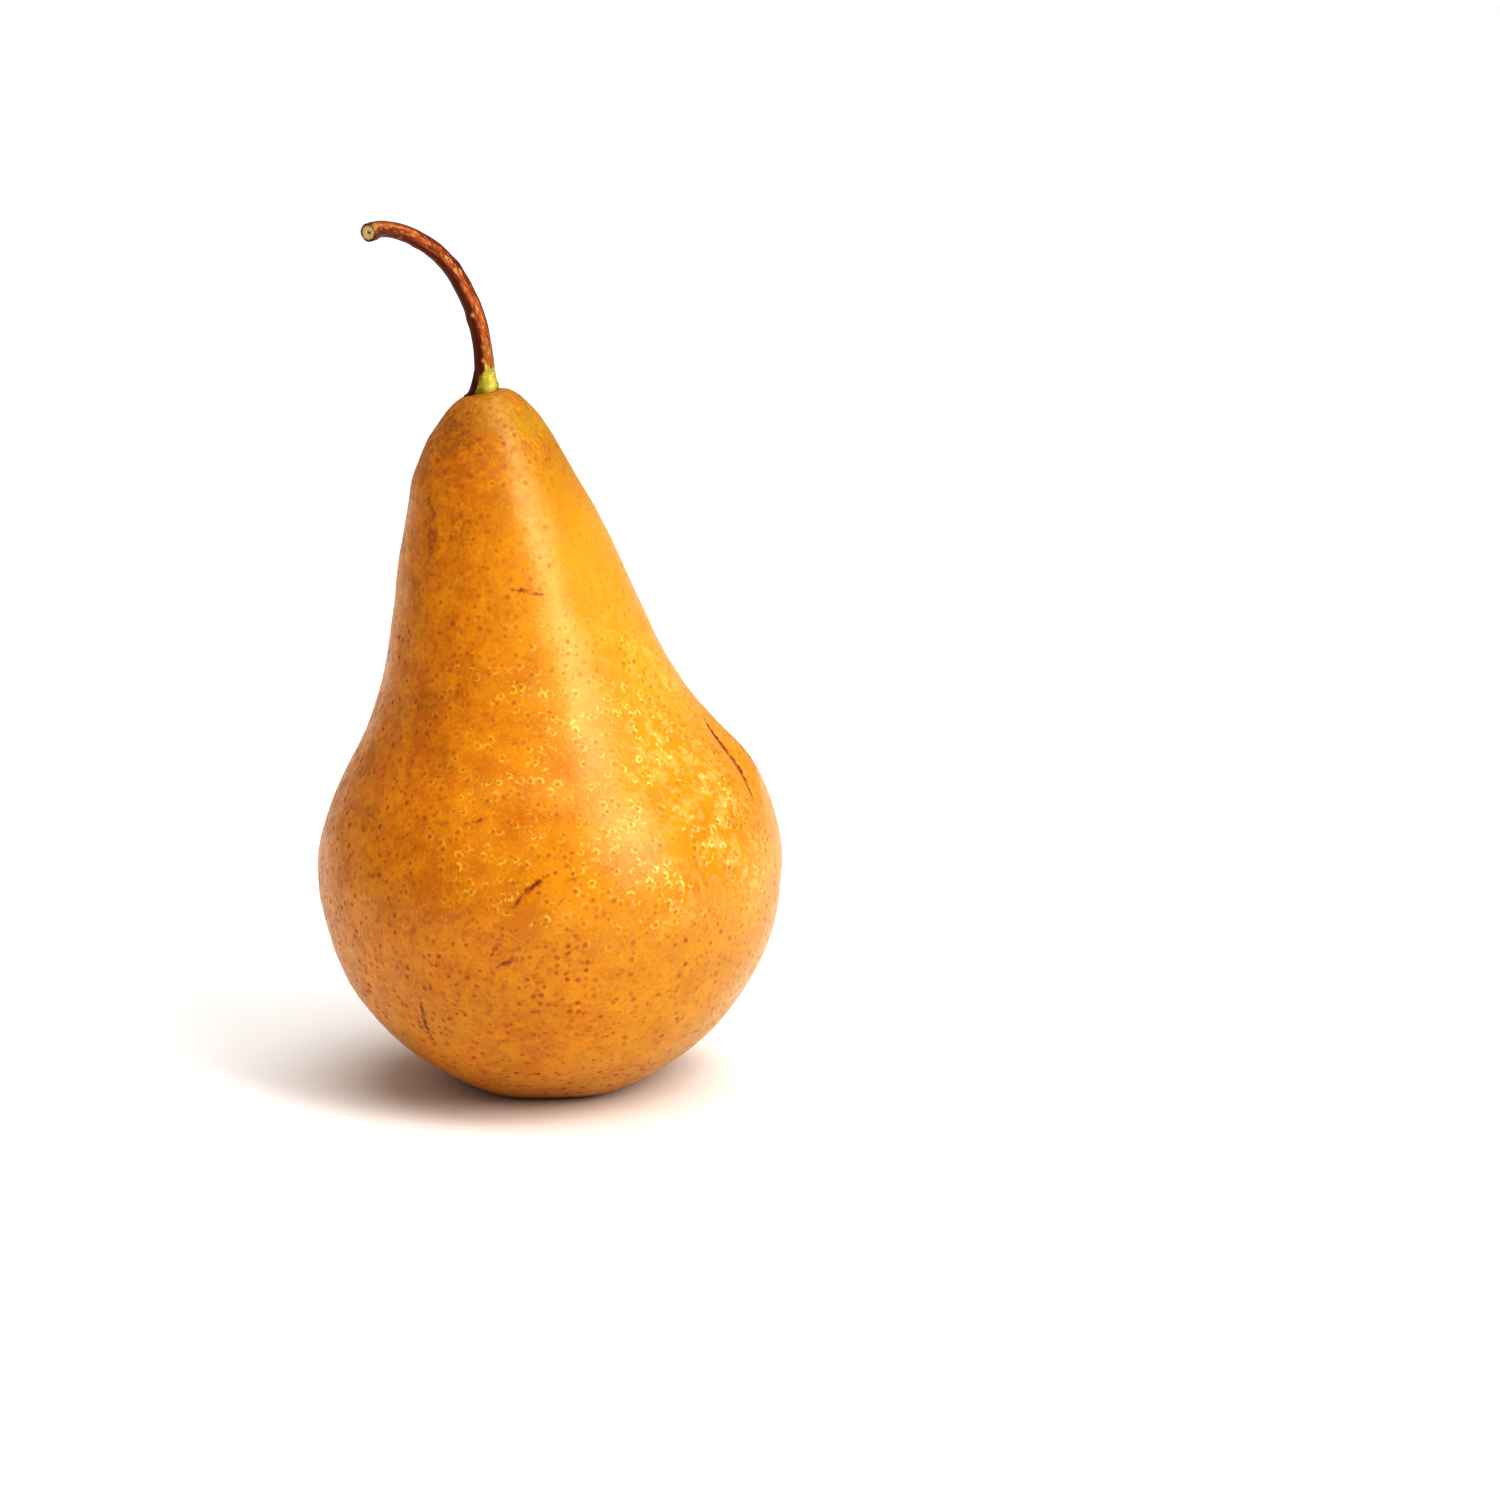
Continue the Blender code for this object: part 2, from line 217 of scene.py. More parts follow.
# %% Reading smooth curves
def ease(value, start, end):
    """Go from 0 at start to 1 at end, level at both ends."""
    share = np.clip((value - start) / (end - start), 0.0, 1.0)
    return share * share * (3.0 - 2.0 * share)


def read_stations(stations, places):
    """Read a smooth curve through (place, value) stations, at many places at once."""
    at, values = np.array(stations).T
    numbers = np.arange(len(at))
    before = np.maximum(numbers - 1, 0)
    after = np.minimum(numbers + 1, len(at) - 1)
    slopes = (values[after] - values[before]) / (at[after] - at[before])
    index = np.clip(np.searchsorted(at, places) - 1, 0, len(at) - 2)
    width = at[index + 1] - at[index]
    share = np.clip((places - at[index]) / width, 0.0, 1.0)
    step = ease(share, 0.0, 1.0)
    bend = share * (1.0 - share) * (slopes[index] * (1.0 - share) - slopes[index + 1] * share) * width
    return values[index] + (values[index + 1] - values[index]) * step + bend


def turn_from(turn, middle):
    """The angle from one turn to another, the short way round."""
    return (turn - middle + math.pi) % math.tau - math.pi


# %% Sizes of the fruit
BELLY_RADIUS = 36.0
BELLY_HEIGHT = 35.2
BELLY_DROP = 37.4
LIP_INNER_RADIUS = 9.2
LIP_OUTER_RADIUS = 10.8
LIP_ROUNDING_END = 16.0
BASIN_DEPTH = 6.2
CALYX_SOCKET_RADIUS = 3.3
HIDDEN_LOW = ((2.2, 7.8), (2.8, 7.0))
HIDDEN_HIGH = (0.9, 106.0)
NECK_RADII = (
    (28.0, 35.4), (35.2, 36.0), (42.0, 34.7), (49.0, 31.6), (56.0, 26.8), (64.0, 22.6),
    (75.0, 18.9), (87.0, 15.25), (95.0, 12.3), (102.0, 8.75), (104.4, 6.9), (106.1, 5.45),
)
CROWN_RADIUS = 5.45
CROWN_TOP = 107.7
CROWN_DROP = 1.7
CROWN_ROUNDNESS = 3.2
CROWN_TILT = 0.23
CROWN_TILT_START = 92.0
CROWN_TILT_END = 104.0
LEAN_LEFT = (
    (34.0, 0.0), (44.0, -0.1), (50.0, 0.1), (56.0, 1.2), (66.0, 3.3), (82.0, 6.0), (90.0, 7.2),
    (96.0, 8.8), (102.0, 9.9), (106.0, 9.8), (110.0, 9.8),
)
LEAN_BACK = ((34.0, 0.0), (56.0, 0.8), (82.0, 2.4), (96.0, 3.2), (102.0, 3.5), (106.0, 3.5), (110.0, 3.5))


# %% The outline, from the calyx to the stem
def crown_height(radius):
    """How high the dome of the crown stands at a distance from the stem's axis."""
    return CROWN_TOP - CROWN_DROP * (radius / CROWN_RADIUS) ** CROWN_ROUNDNESS


def centre_line(height):
    """Where the middle of the fruit lies at a height, as its neck leans."""
    return -read_stations(LEAN_LEFT, height), read_stations(LEAN_BACK, height)


def fruit_outline(rings):
    """The whole outline as evenly spaced radii and heights, from the basin's top to the crown."""
    fine = np.linspace(0.0, 1.0, 400)
    basin = CALYX_SOCKET_RADIUS + (LIP_INNER_RADIUS - CALYX_SOCKET_RADIUS) * fine
    basin_height = BASIN_DEPTH * 0.5 * (1.0 + np.cos(math.pi * fine))
    side = math.sqrt(1.0 - (LIP_ROUNDING_END / BELLY_RADIUS) ** 2)
    end_height = BELLY_HEIGHT - BELLY_DROP * side
    end_slope = BELLY_DROP * LIP_ROUNDING_END / BELLY_RADIUS ** 2 / side
    rounding = LIP_OUTER_RADIUS + (LIP_ROUNDING_END - LIP_OUTER_RADIUS) * fine
    power = end_slope * (LIP_ROUNDING_END - LIP_OUTER_RADIUS) / end_height
    angle = np.linspace(math.asin(LIP_ROUNDING_END / BELLY_RADIUS), math.pi / 2, 400)
    neck_height = np.linspace(BELLY_HEIGHT, NECK_RADII[-1][0], 800)
    crown = np.linspace(CROWN_RADIUS, 1.0, 200)
    low_radii, low_heights = zip(*HIDDEN_LOW)
    radii = np.concatenate((low_radii, basin, rounding, BELLY_RADIUS * np.sin(angle),
                            read_stations(NECK_RADII, neck_height), crown, HIDDEN_HIGH[:1]))
    heights = np.concatenate((low_heights, basin_height, end_height * fine ** power,
                              BELLY_HEIGHT - BELLY_DROP * np.cos(angle), neck_height,
                              crown_height(crown), HIDDEN_HIGH[1:]))
    length = np.concatenate(([0.0], np.cumsum(np.hypot(np.diff(radii), np.diff(heights)))))
    even = np.linspace(0.0, length[-1], rings)
    return np.interp(even, length, radii), np.interp(even, length, heights)


FRUIT_RINGS = 262
outline_radii, outline_heights = fruit_outline(FRUIT_RINGS)
print("Outline rings:", FRUIT_RINGS, "widest radius", round(float(outline_radii.max()), 2), "mm")


# %% [markdown]
# ## What is not round
# No pear is a true solid of revolution. Slow lobes make it oval, five uneven ribs run into
# the basin, and on the right flank the flesh has grown past itself: a crease with a bulging
# fold beside it. The skin is also never flat. It has shallow dents from growth, of a tenth
# or two of a millimetre, which break up the highlight. All of that is real shape, so it is
# in the mesh: the crease as a formula, the dents as smooth noise along the surface normal.

# %% Swellings and the crease
OVAL_SHARE = 0.01
THREE_LOBE_SHARE = 0.009
BASIN_RIBS = 5
BASIN_RIB_HEIGHT = 0.4
BASIN_RIB_DRIFT = 0.8
BASIN_RIB_FULL_RADIUS = 8.0
BASIN_RIB_FADE_START = 3.0
BASIN_RIB_FADE_END = 14.0
CREASE_TOP = 62.0
CREASE_BOTTOM = 43.0
CREASE_TURN_TOP = math.radians(-2.0)
CREASE_TURN_BOTTOM = math.radians(-18.0)
CREASE_DEPTH = 0.5
CREASE_HALF_WIDTH = math.radians(4.5)
CREASE_BULGE = 0.7
CREASE_BULGE_AWAY = math.radians(12.0)
CREASE_BULGE_HALF_WIDTH = math.radians(11.0)
CREASE_LINE_DEPTH = 0.4
CREASE_LINE_HALF_WIDTH = math.radians(0.75)
CREASE_LINE_STRENGTH = (0.35, 0.8)


def crease_place(turn, height):
    """How far a place lies past the crease, as an angle, and how strong the crease is there."""
    share = np.clip((CREASE_TOP - height) / (CREASE_TOP - CREASE_BOTTOM), 0.0, 1.0)
    middle = CREASE_TURN_TOP + (CREASE_TURN_BOTTOM - CREASE_TURN_TOP) * share
    return turn_from(turn, middle), np.sin(math.pi * share) ** 2


def swelling(turn, radius, height):
    """How far the skin stands out of the true round, from its lobes, ribs and crease."""
    out = radius * (OVAL_SHARE * np.sin(2 * turn) + THREE_LOBE_SHARE * np.sin(3 * turn))
    rib_share = ease(radius, CALYX_SOCKET_RADIUS, BASIN_RIB_FULL_RADIUS)
    rib_share = rib_share * (1.0 - ease(height, BASIN_RIB_FADE_START, BASIN_RIB_FADE_END))
    drift = BASIN_RIB_DRIFT * np.sin(turn + 1.0)
    out = out + BASIN_RIB_HEIGHT * rib_share * np.sin(BASIN_RIBS * turn + drift)
    away, strength = crease_place(turn, height)
    groove = np.exp(-(away / CREASE_HALF_WIDTH) ** 2)
    fold = np.exp(-((away - CREASE_BULGE_AWAY) / CREASE_BULGE_HALF_WIDTH) ** 2)
    line = np.exp(-(away / CREASE_LINE_HALF_WIDTH) ** 2) * ease(strength, *CREASE_LINE_STRENGTH)
    return out + strength * (CREASE_BULGE * fold - CREASE_DEPTH * groove) - CREASE_LINE_DEPTH * line


def skin_points(turn, radius, height):
    """Points of the skin, in millimetres, for arrays of turns, radii and heights."""
    reach = radius + swelling(turn, radius, height)
    middle_x, middle_y = centre_line(height)
    across = reach * np.cos(turn)
    tilt = CROWN_TILT * across * ease(height, CROWN_TILT_START, CROWN_TILT_END)
    return np.stack((middle_x + across, middle_y + reach * np.sin(turn), height + tilt), axis=-1)


# %% Growth dents
DENTS = ((15.0, 0.26), (7.0, 0.13), (3.2, 0.045))


def noise_at(points, size, start=0.0):
    """Smooth noise from -1 to 1 at many points, in lumps of a size in millimetres."""
    flat = points.reshape(-1, 3) / size + start
    values = [noise.noise(point) for point in flat.tolist()]
    return np.array(values).reshape(points.shape[:-1])


def surface_normals(points):
    """Unit normals of a grid of points, whose rings are rows that close on themselves."""
    around = np.roll(points, -1, axis=1) - np.roll(points, 1, axis=1)
    upward = np.gradient(points, axis=0)
    normals = np.cross(around, upward)
    return normals / np.maximum(np.linalg.norm(normals, axis=-1, keepdims=True), 1e-9)


def dent(points):
    """Move a grid of skin points in or out along their normals, by the growth dents."""
    depth = sum(height * noise_at(points, size, start=size) for size, height in DENTS)
    steady = ease(points[..., 2], 0.2, 5.0)
    return points + surface_normals(points) * (depth * steady)[..., None]


# %% [markdown]
# ## From a grid of points to a piece
# Every piece here is a grid: rings of points, one above the other. Joined by quads and closed
# by a fan at each end, it becomes one watertight skin. A loop of Blender's primitives could
# give the same, but a grid also gives a clean map: once round is u, once along is v, so a
# baked texture wraps it without a break except at the seam, which is kept at the back.

# %% Mesh builder
def close_grid(name, points, material, end_material=None, end_rings=0):
    """Make a closed object from rings of points in millimetres; the last rings may differ in finish."""
    rings, columns = points.shape[:2]
    ends = np.stack((points[0].mean(axis=0), points[-1].mean(axis=0)))
    places = np.concatenate((points.reshape(-1, 3), ends)) * MM
    ring, column = np.meshgrid(np.arange(rings - 1), np.arange(columns), indexing="ij")
    after = (column + 1) % columns
    quads = np.stack((ring * columns + column, ring * columns + after,
                      (ring + 1) * columns + after, (ring + 1) * columns + column), axis=-1)
    low = np.arange(columns)
    high = low + (rings - 1) * columns
    pole = rings * columns
    faces = quads.reshape(-1, 4).tolist()
    faces += [(int(a), pole, int(b)) for a, b in zip(low, np.roll(low, -1))]
    faces += [(int(b), pole + 1, int(a)) for a, b in zip(high, np.roll(high, -1))]
    mesh = bpy.data.meshes.new(name)
    mesh.from_pydata(places.tolist(), [], faces)
    along = np.linalg.norm(np.diff(points, axis=0), axis=-1).mean(axis=1)
    v = np.concatenate(([0.0], np.cumsum(along))) / along.sum()
    u = np.arange(columns + 1) / columns
    quad_map = np.stack((u[column], v[ring], u[column + 1], v[ring], u[column + 1], v[ring + 1],
                         u[column], v[ring + 1]), axis=-1)
    flat = np.zeros(columns)
    fan_low = np.stack((u[:-1], flat, u[:-1], flat, u[1:], flat), axis=-1)
    fan_high = np.stack((u[1:], flat + 1, u[:-1], flat + 1, u[:-1], flat + 1), axis=-1)
    layer = mesh.uv_layers.new(name="OFBake")
    layer.data.foreach_set("uv", np.concatenate((quad_map.ravel(), fan_low.ravel(), fan_high.ravel())))
    mesh.shade_smooth()
    mesh.materials.append(material)
    if end_material:
        mesh.materials.append(end_material)
        finish = np.zeros(len(mesh.polygons), dtype=np.int32)
        finish[(rings - 1 - end_rings) * columns:(rings - 1) * columns] = 1
        finish[rings * columns:] = 1
        mesh.polygons.foreach_set("material_index", finish)
    mesh.update()
    piece = bpy.data.objects.new(name, mesh)
    bpy.context.collection.objects.link(piece)
    print(name, "has", len(mesh.polygons), "faces")
    return piece


def paint(piece, name, values):
    """Keep a value for each point of a piece's grid, for its material to read."""
    grid = values.reshape(-1, values.shape[-1]) if values.ndim == 3 else values.reshape(-1, 1)
    ends = np.stack((grid[0], grid[-1]))
    kind = "FLOAT_VECTOR" if grid.shape[1] == 3 else "FLOAT"
    layer = piece.data.attributes.new(name, kind, "POINT")
    field = "vector" if grid.shape[1] == 3 else "value"
    layer.data.foreach_set(field, np.concatenate((grid, ends)).ravel())


# %% [markdown]
# ## The marks on the skin
# Russet cork thickens where the skin was rubbed or split while it grew: short dark lines that
# follow a scratch, a split or a bruise. They could be painted by hand. Here each is a short
# run of places on the skin, as turn and height, and every point of the mesh stores how far it
# lies across and along its nearest mark. A distance is smooth, so the material can draw a
# line from it that is much finer than the mesh.

# %% Marks, as (half width, darkness, places of (turn in degrees, height))
MARKS = (
    (0.30, 0.9, ((-87, 80.6), (-79, 80.2), (-71, 79.7))),
    (0.38, 1.0, ((-96.5, 36.9), (-94.4, 38.7), (-91.8, 40.1), (-88.4, 41.6))),
    (0.26, 0.8, ((-99.1, 32.6), (-102.4, 29.0))),
    (0.42, 1.0, ((-100.8, 27.4), (-95.0, 29.3))),
    (0.42, 1.0, ((-123.9, 20.8), (-125.7, 16.2), (-126.4, 12.3))),
    (0.26, 0.7, ((-116.2, 21.0), (-113.4, 20.4))),
    (0.24, 0.7, ((-110.8, 48.1), (-107.6, 48.6), (-104.2, 49.4))),
    (0.26, 0.8, ((-86.0, 28.8), (-81.8, 30.6))),
    (0.22, 0.6, ((-84.9, 40.6), (-80.8, 41.1))),
    (0.22, 0.6, ((-86.1, 37.0), (-84.8, 38.2))),
    (0.95, 0.5, ((-139.0, 93.4), (-133.0, 89.8), (-132.0, 86.5), (-137.0, 82.6))),
    (0.75, 1.0, ((-5.4, 58.0), (-8.4, 54.4), (-10.5, 51.9), (-12.9, 49.1), (-15.0, 46.6))),
    (0.55, 0.55, ((-40.6, 70.9), (-39.4, 70.4))),
    (0.45, 0.5, ((-94.0, 101.8), (-88.0, 102.0))),
    (0.30, 0.8, ((62, 46.0), (69, 43.0), (73, 39.0))),
    (0.26, 0.7, ((118, 66.0), (124, 64.6))),
    (0.34, 0.8, ((149, 31.0), (144, 26.5), (143, 23.0))),
    (0.24, 0.6, ((95, 84.0), (106, 83.2))),
    (0.30, 0.7, ((20, 27.0), (25, 24.2))),
    (0.26, 0.6, ((176, 55.0), (183, 57.5))),
    (0.28, 0.7, ((88, 24.0), (93, 20.5), (95, 17.0))),
)
MARK_REACH = 2.6
MARK_FADE = 1.6
MARK_TAPER = 1.8


def skin_place(turn_degrees, height):
    """A point of the skin at a turn and a height, above the lip."""
    radius = read_stations(NECK_RADII, height)
    if height <= BELLY_HEIGHT:
        radius = BELLY_RADIUS * math.sqrt(1.0 - ((BELLY_HEIGHT - height) / BELLY_DROP) ** 2)
    return skin_points(math.radians(turn_degrees), radius, height)


def mark_places(points, normals):
    """For each point: how far across its nearest mark it lies, how wide the mark is, and how dark."""
    across = np.full(points.shape[:-1], MARK_REACH)
    half_width = np.full(points.shape[:-1], 0.1)
    dark = np.zeros(points.shape[:-1])
    nearest = np.full(points.shape[:-1], MARK_REACH)
    for width, darkness, places in MARKS:
        run = [skin_place(turn, height) for turn, height in places]
        total = sum(np.linalg.norm(end - start) for start, end in zip(run, run[1:]))
        passed = 0.0
        for start, end in zip(run, run[1:]):
            length = np.linalg.norm(end - start)
            direction = (end - start) / length
            offset = points - start
            along = np.clip(offset @ direction, 0.0, length)
            away = offset - along[..., None] * direction
            distance = np.linalg.norm(away, axis=-1)
            side = np.cross(normals, direction)
            signed = np.einsum("...i,...i->...", offset, side)
            inside = distance < nearest
            nearest = np.where(inside, distance, nearest)
            share = np.clip(2.0 * (passed + offset @ direction) / total - 1.0, -MARK_TAPER, MARK_TAPER)
            across = np.where(inside, signed, across)
            half_width = np.where(inside, width * (1.0 - share ** 2), half_width)
            dark = np.where(inside, darkness, dark)
            passed += length
    dark = dark * (1.0 - ease(nearest, MARK_FADE, MARK_REACH))
    return np.stack((across, half_width, dark), axis=-1)


# %% [markdown]
# ## The skin: waxed russet
# The real surface is a film of cork, over a yellow ground that shows wherever the cork has
# split, and under a thin natural wax that gives it a satin gleam. The cork is dotted with
# lenticels, the breathing pores: brown spots up to a millimetre across, a millimetre or two
# apart. On the golden shoulder many stand in a broken ring of bare yellow ground.
#
# A photograph wrapped round the fruit would be the usual short cut. Here the skin is built
# as it grew, in layers. What changes slowly is worked out for each point of the mesh and kept
# there as an attribute: the sunny cheek, the broad mottling, the flecks of bare ground, the
# green and brown tinges, a pale tinge that is painted light on the lit right of the neck, and
# how plain the pores are to see. What is finer than
# the mesh comes from solid patterns in the material: they fill space and the surface cuts
# through them, so they have no seam and no stretching on the narrow neck.

# %% Cheek, mottling and flecks
CHEEK_WIDTHS = ((0.0, 30.0), (35.0, 34.0), (60.0, 24.0), (100.0, 14.0))
CHEEK_NECK = (50.0, 110.0)
CHEEK_NECK_LEAN = 0.17
CHEEK_TO_BACK = 0.25
CHEEK_DRIFT = 0.22
CHEEK_EDGE = 0.85
TONE_NOISE = ((11.0, 0.5), (5.0, 0.45), (2.4, 0.35))
TONE_MIDDLE = 0.5
TONE_CROWN = 0.3
FLECK_LOBES = ((-68.0, 88.0, 1.15), (125.0, 60.0, 0.6))
FLECK_LOBE_CORE = 0.25
FLECK_RISE = (22.0, 42.0)
FLECK_FALL = (62.0, 86.0)
FLECK_LEAST = 0.4


def cheek_share(points):
    """How golden the skin is, from 0 on the brown left to 1 on the right cheek, which had the sun."""
    height = points[..., 2]
    lean = CHEEK_NECK_LEAN * (np.clip(height, *CHEEK_NECK) - CHEEK_NECK[0])
    across = points[..., 0] + lean + CHEEK_TO_BACK * points[..., 1]
    drift = CHEEK_DRIFT * noise_at(points, 17.0, start=3.0)
    return ease(across / read_stations(CHEEK_WIDTHS, height) + drift, -CHEEK_EDGE, CHEEK_EDGE)


def tone_share(points):
    """Broad and middling mottle of the cork, about 0.5 on average and deeper near the stem."""
    mottle = sum(share * noise_at(points, size, start=20.0 + size) for size, share in TONE_NOISE)
    return TONE_MIDDLE + mottle + TONE_CROWN * ease(points[..., 2], 86.0, 102.0)


def fleck_share(points, turns):
    """How much yellow ground shows: most on the shoulder at the front right, least at both ends."""
    height = points[..., 2]
    band = ease(height, *FLECK_RISE) * (1.0 - ease(height, *FLECK_FALL))
    share = 0.0
    for middle, half_width, strength in FLECK_LOBES:
        away = np.abs(turn_from(turns, math.radians(middle)))
        share = share + strength * (1.0 - ease(away, FLECK_LOBE_CORE, math.radians(half_width)))
    patches = ease(noise_at(points, 6.0, start=9.0), -0.4, 0.4)
    return band * np.minimum(share, 1.0) * (FLECK_LEAST + (1.0 - FLECK_LEAST) * patches)


# %% Tinges and pores
GREEN_LOW_SHARE = 0.7
BROWN_MEAN = 0.75
BROWN_SWING = 0.5
BROWN_BLOTCHES = 0.5
PORES_FAINT_NECK = 0.35
PORES_PLAIN_CROWN = 0.3
PORES_FAINT_CHEEK = 0.2
PORES_FAINT_PATCHES = 0.3
PORES_FAINTEST = 0.65


def green_share(points, cheek):
    """A green tinge that lingers in patches near the stem, and low on the shaded left."""
    height = points[..., 2]
    low = GREEN_LOW_SHARE * (1.0 - ease(height, 4.0, 40.0)) * (1.0 - cheek)
    lingering = ease(height, 84.0, 101.0) * cheek + low
    return lingering * ease(noise_at(points, 6.0, start=5.0), -0.5, 0.4)


def painted_light_share(points, cheek):
    """Painted light: a paler gold on the lit right of the neck, which stands in for the light there."""
    height = points[..., 2]
    return cheek * ease(height, 50.0, 68.0) * (1.0 - ease(height, 84.0, 100.0))


def brown_share(points, cheek):
    """How brown the skin is: near the stem, round the calyx, and in blotches on the shaded left."""
    height = points[..., 2]
    patches = BROWN_MEAN + BROWN_SWING * noise_at(points, 3.5, start=11.0)
    basin = 1.0 - ease(np.hypot(points[..., 0], points[..., 1]), 5.0, 14.0)
    basin = basin * (1.0 - ease(height, 6.0, 12.0))
    crown = ease(height, 90.0, 104.0)
    blotches = ease(noise_at(points, 5.0, start=15.0), 0.0, 0.55) * ease(height, 20.0, 55.0)
    return np.clip((crown + basin) * patches + BROWN_BLOTCHES * blotches * (1.0 - cheek), 0.0, 1.0)


def pore_share(points, cheek):
    """How plain the pores are to see: most on the left and low down, least half way up the neck."""
    height = points[..., 2]
    faint = PORES_FAINT_NECK * ease(height, 62.0, 84.0) - PORES_PLAIN_CROWN * ease(height, 88.0, 100.0)
    faint = faint + PORES_FAINT_CHEEK * cheek + PORES_FAINT_PATCHES * noise_at(points, 9.0, start=13.0)
    return 1.0 - np.clip(faint, 0.0, PORES_FAINTEST)


def slow_shares(points, turns):
    """All that changes slowly over the skin, by name, for each point of the grid."""
    cheek = cheek_share(points)
    return {
        "cheek": cheek, "tone": tone_share(points), "flecks": fleck_share(points, turns),
        "green": green_share(points, cheek), "pale": painted_light_share(points, cheek),
        "brown": brown_share(points, cheek), "pores": pore_share(points, cheek),
    }


# %% Solid patterns of the skin
MOTTLE_SIZE = 1.7
GRAIN_SIZE = 0.62
HALF = (0.5, 0.5, 0.5)
PORE_STIR = (0.35, 0.35, 0.35)
PORE_SPACING = 1.35
PORE_RADII = (0.32, 0.62)
PORE_DEPTHS = (0.6, 0.15)
PORE_SHRINKING = 0.5


def read_place(add):
    """The place of a point on the piece, in millimetres."""
    return add("VectorMath", {0: add("TexCoord").outputs["Object"], "Scale": 1 / MM}, operation="SCALE")


def skin_patterns(add):
    """The solid patterns that the skin's layers share: mottle, grain, and the cells of the pores."""
    place = read_place(add)
    mottle = add("TexNoise", {"Vector": place, "Scale": 1 / MOTTLE_SIZE, "Detail": 4.0, "Roughness": 0.6})
    grain = add("TexNoise", {"Vector": place, "Scale": 1 / GRAIN_SIZE, "Detail": 2.0})
    stir = add("VectorMath", {0: grain.outputs["Color"], 1: HALF}, operation="SUBTRACT")
    stirred = add("VectorMath", {0: stir, 1: PORE_STIR, 2: place}, operation="MULTIPLY_ADD")
    cell = add("TexVoronoi", {"Vector": stirred, "Scale": 1 / PORE_SPACING, "Randomness": 1.0})
    return mottle, grain, stirred, cell


def pore_places(add, stirred, cell, flecks):
    """The way from the nearest pore, its length in pore radii, and how near the skin that pore lies."""
    normal = add("TexCoord").outputs["Normal"]
    offset = add("VectorMath", {0: stirred, 1: cell.outputs["Position"]}, operation="SUBTRACT")
    depth = add("VectorMath", {0: offset, 1: normal}, operation="DOT_PRODUCT")
    inward = add("VectorMath", {0: normal, "Scale": depth}, operation="SCALE")
    beside = add("VectorMath", {0: offset, 1: inward}, operation="SUBTRACT")
    reach = add("VectorMath", {0: beside}, operation="LENGTH")
    chance = add("SeparateColor", {0: cell.outputs["Color"]})
    size = add("MapRange", span(chance.outputs["Red"], 0.0, 1.0, *PORE_RADII))
    shrink = add("MapRange", span(flecks, 0.0, 1.0, 1.0, 1.0 - PORE_SHRINKING))
    size = add("Math", {0: size, 1: shrink}, operation="MULTIPLY")
    ratio = add("Math", {0: reach, 1: size}, operation="DIVIDE")
    depth = add("Math", {0: depth}, operation="ABSOLUTE")
    near = add("MapRange", span(depth, *PORE_DEPTHS), **SMOOTH)
    return beside, ratio, near, chance


# %% Colour of the cork
RUSSET = "#D58910"
RUSSET_DEEP = "#BE6C0A"
GOLD = "#B6770A"
GOLD_LIGHT = "#C68A14"
GOLD_PAINTED_LIGHT = "#D69C30"
OLIVE_BROWN = "#90580C"
GREEN_TINGE = "#A8880E"
MOTTLE_SPREAD = (-0.5, 0.5)
GRAIN_SPREAD = (-0.4, 0.4)
BROWN_DEPTHS = (0.2, 0.9)
PAINTED_LIGHT_DEPTH = 0.5
GREEN_DEPTH = 0.5


def russet_colour(add, slow, mottle, grain):
    """The cork itself: russet to gold across the fruit, mottled, with its brown and green tinges and a pale
    tinge that is painted light on the right of the neck.
    """
    mottled = add("MapRange", span(mottle, *NOISE_RANGE, *MOTTLE_SPREAD))
    grained = add("MapRange", span(grain, *NOISE_RANGE, *GRAIN_SPREAD))
    spread = add("Math", {0: mottled, 1: grained}, operation="ADD")
    deep = add("Math", {0: slow["tone"], 1: spread}, operation="ADD", use_clamp=True)
    russet, gold = (add("Mix", {"Factor": deep, "A": linear(light), "B": linear(dark)}, **RGBA)
                    for light, dark in ((RUSSET, RUSSET_DEEP), (GOLD_LIGHT, GOLD)))
    colour = add("Mix", {"Factor": slow["cheek"], "A": russet, "B": gold}, **RGBA)
    patchy = add("MapRange", span(spread, *MOTTLE_SPREAD, *BROWN_DEPTHS))
    # The pale tinge is painted light on the lit right of the neck; the brown and green tinges are the cork's
    # own.
    for name, depth, tinge in (("pale", PAINTED_LIGHT_DEPTH, GOLD_PAINTED_LIGHT), ("brown", patchy, OLIVE_BROWN),
                               ("green", GREEN_DEPTH, GREEN_TINGE)):
        share = add("Math", {0: slow[name], 1: depth}, operation="MULTIPLY")
        colour = add("Mix", {"Factor": share, "A": colour, "B": linear(tinge)}, **RGBA)
    return colour


# %% Bare ground where the cork has split
GROUND = "#E2B03A"
GROUND_PALE_AND_SHEEN = "#ECCC7C"
RING_INNER = (0.6, 1.6)
RING_OUTER = (3.6, 1.6)
RING_OPENING = (-0.22, 0.05)
RING_CHANCE = (0.2, 0.6, 0.4, 1.1)
SPLIT_WEIGHTS = (0.3, 0.4, 0.22)
SPLIT_EDGE = (0.9, 1.3)
HAZE_AND_SHEEN = (0.44, 0.64, 0.0, 0.45)
SPLIT_STRENGTH = (0.0, 0.8, 0.1, 0.8)


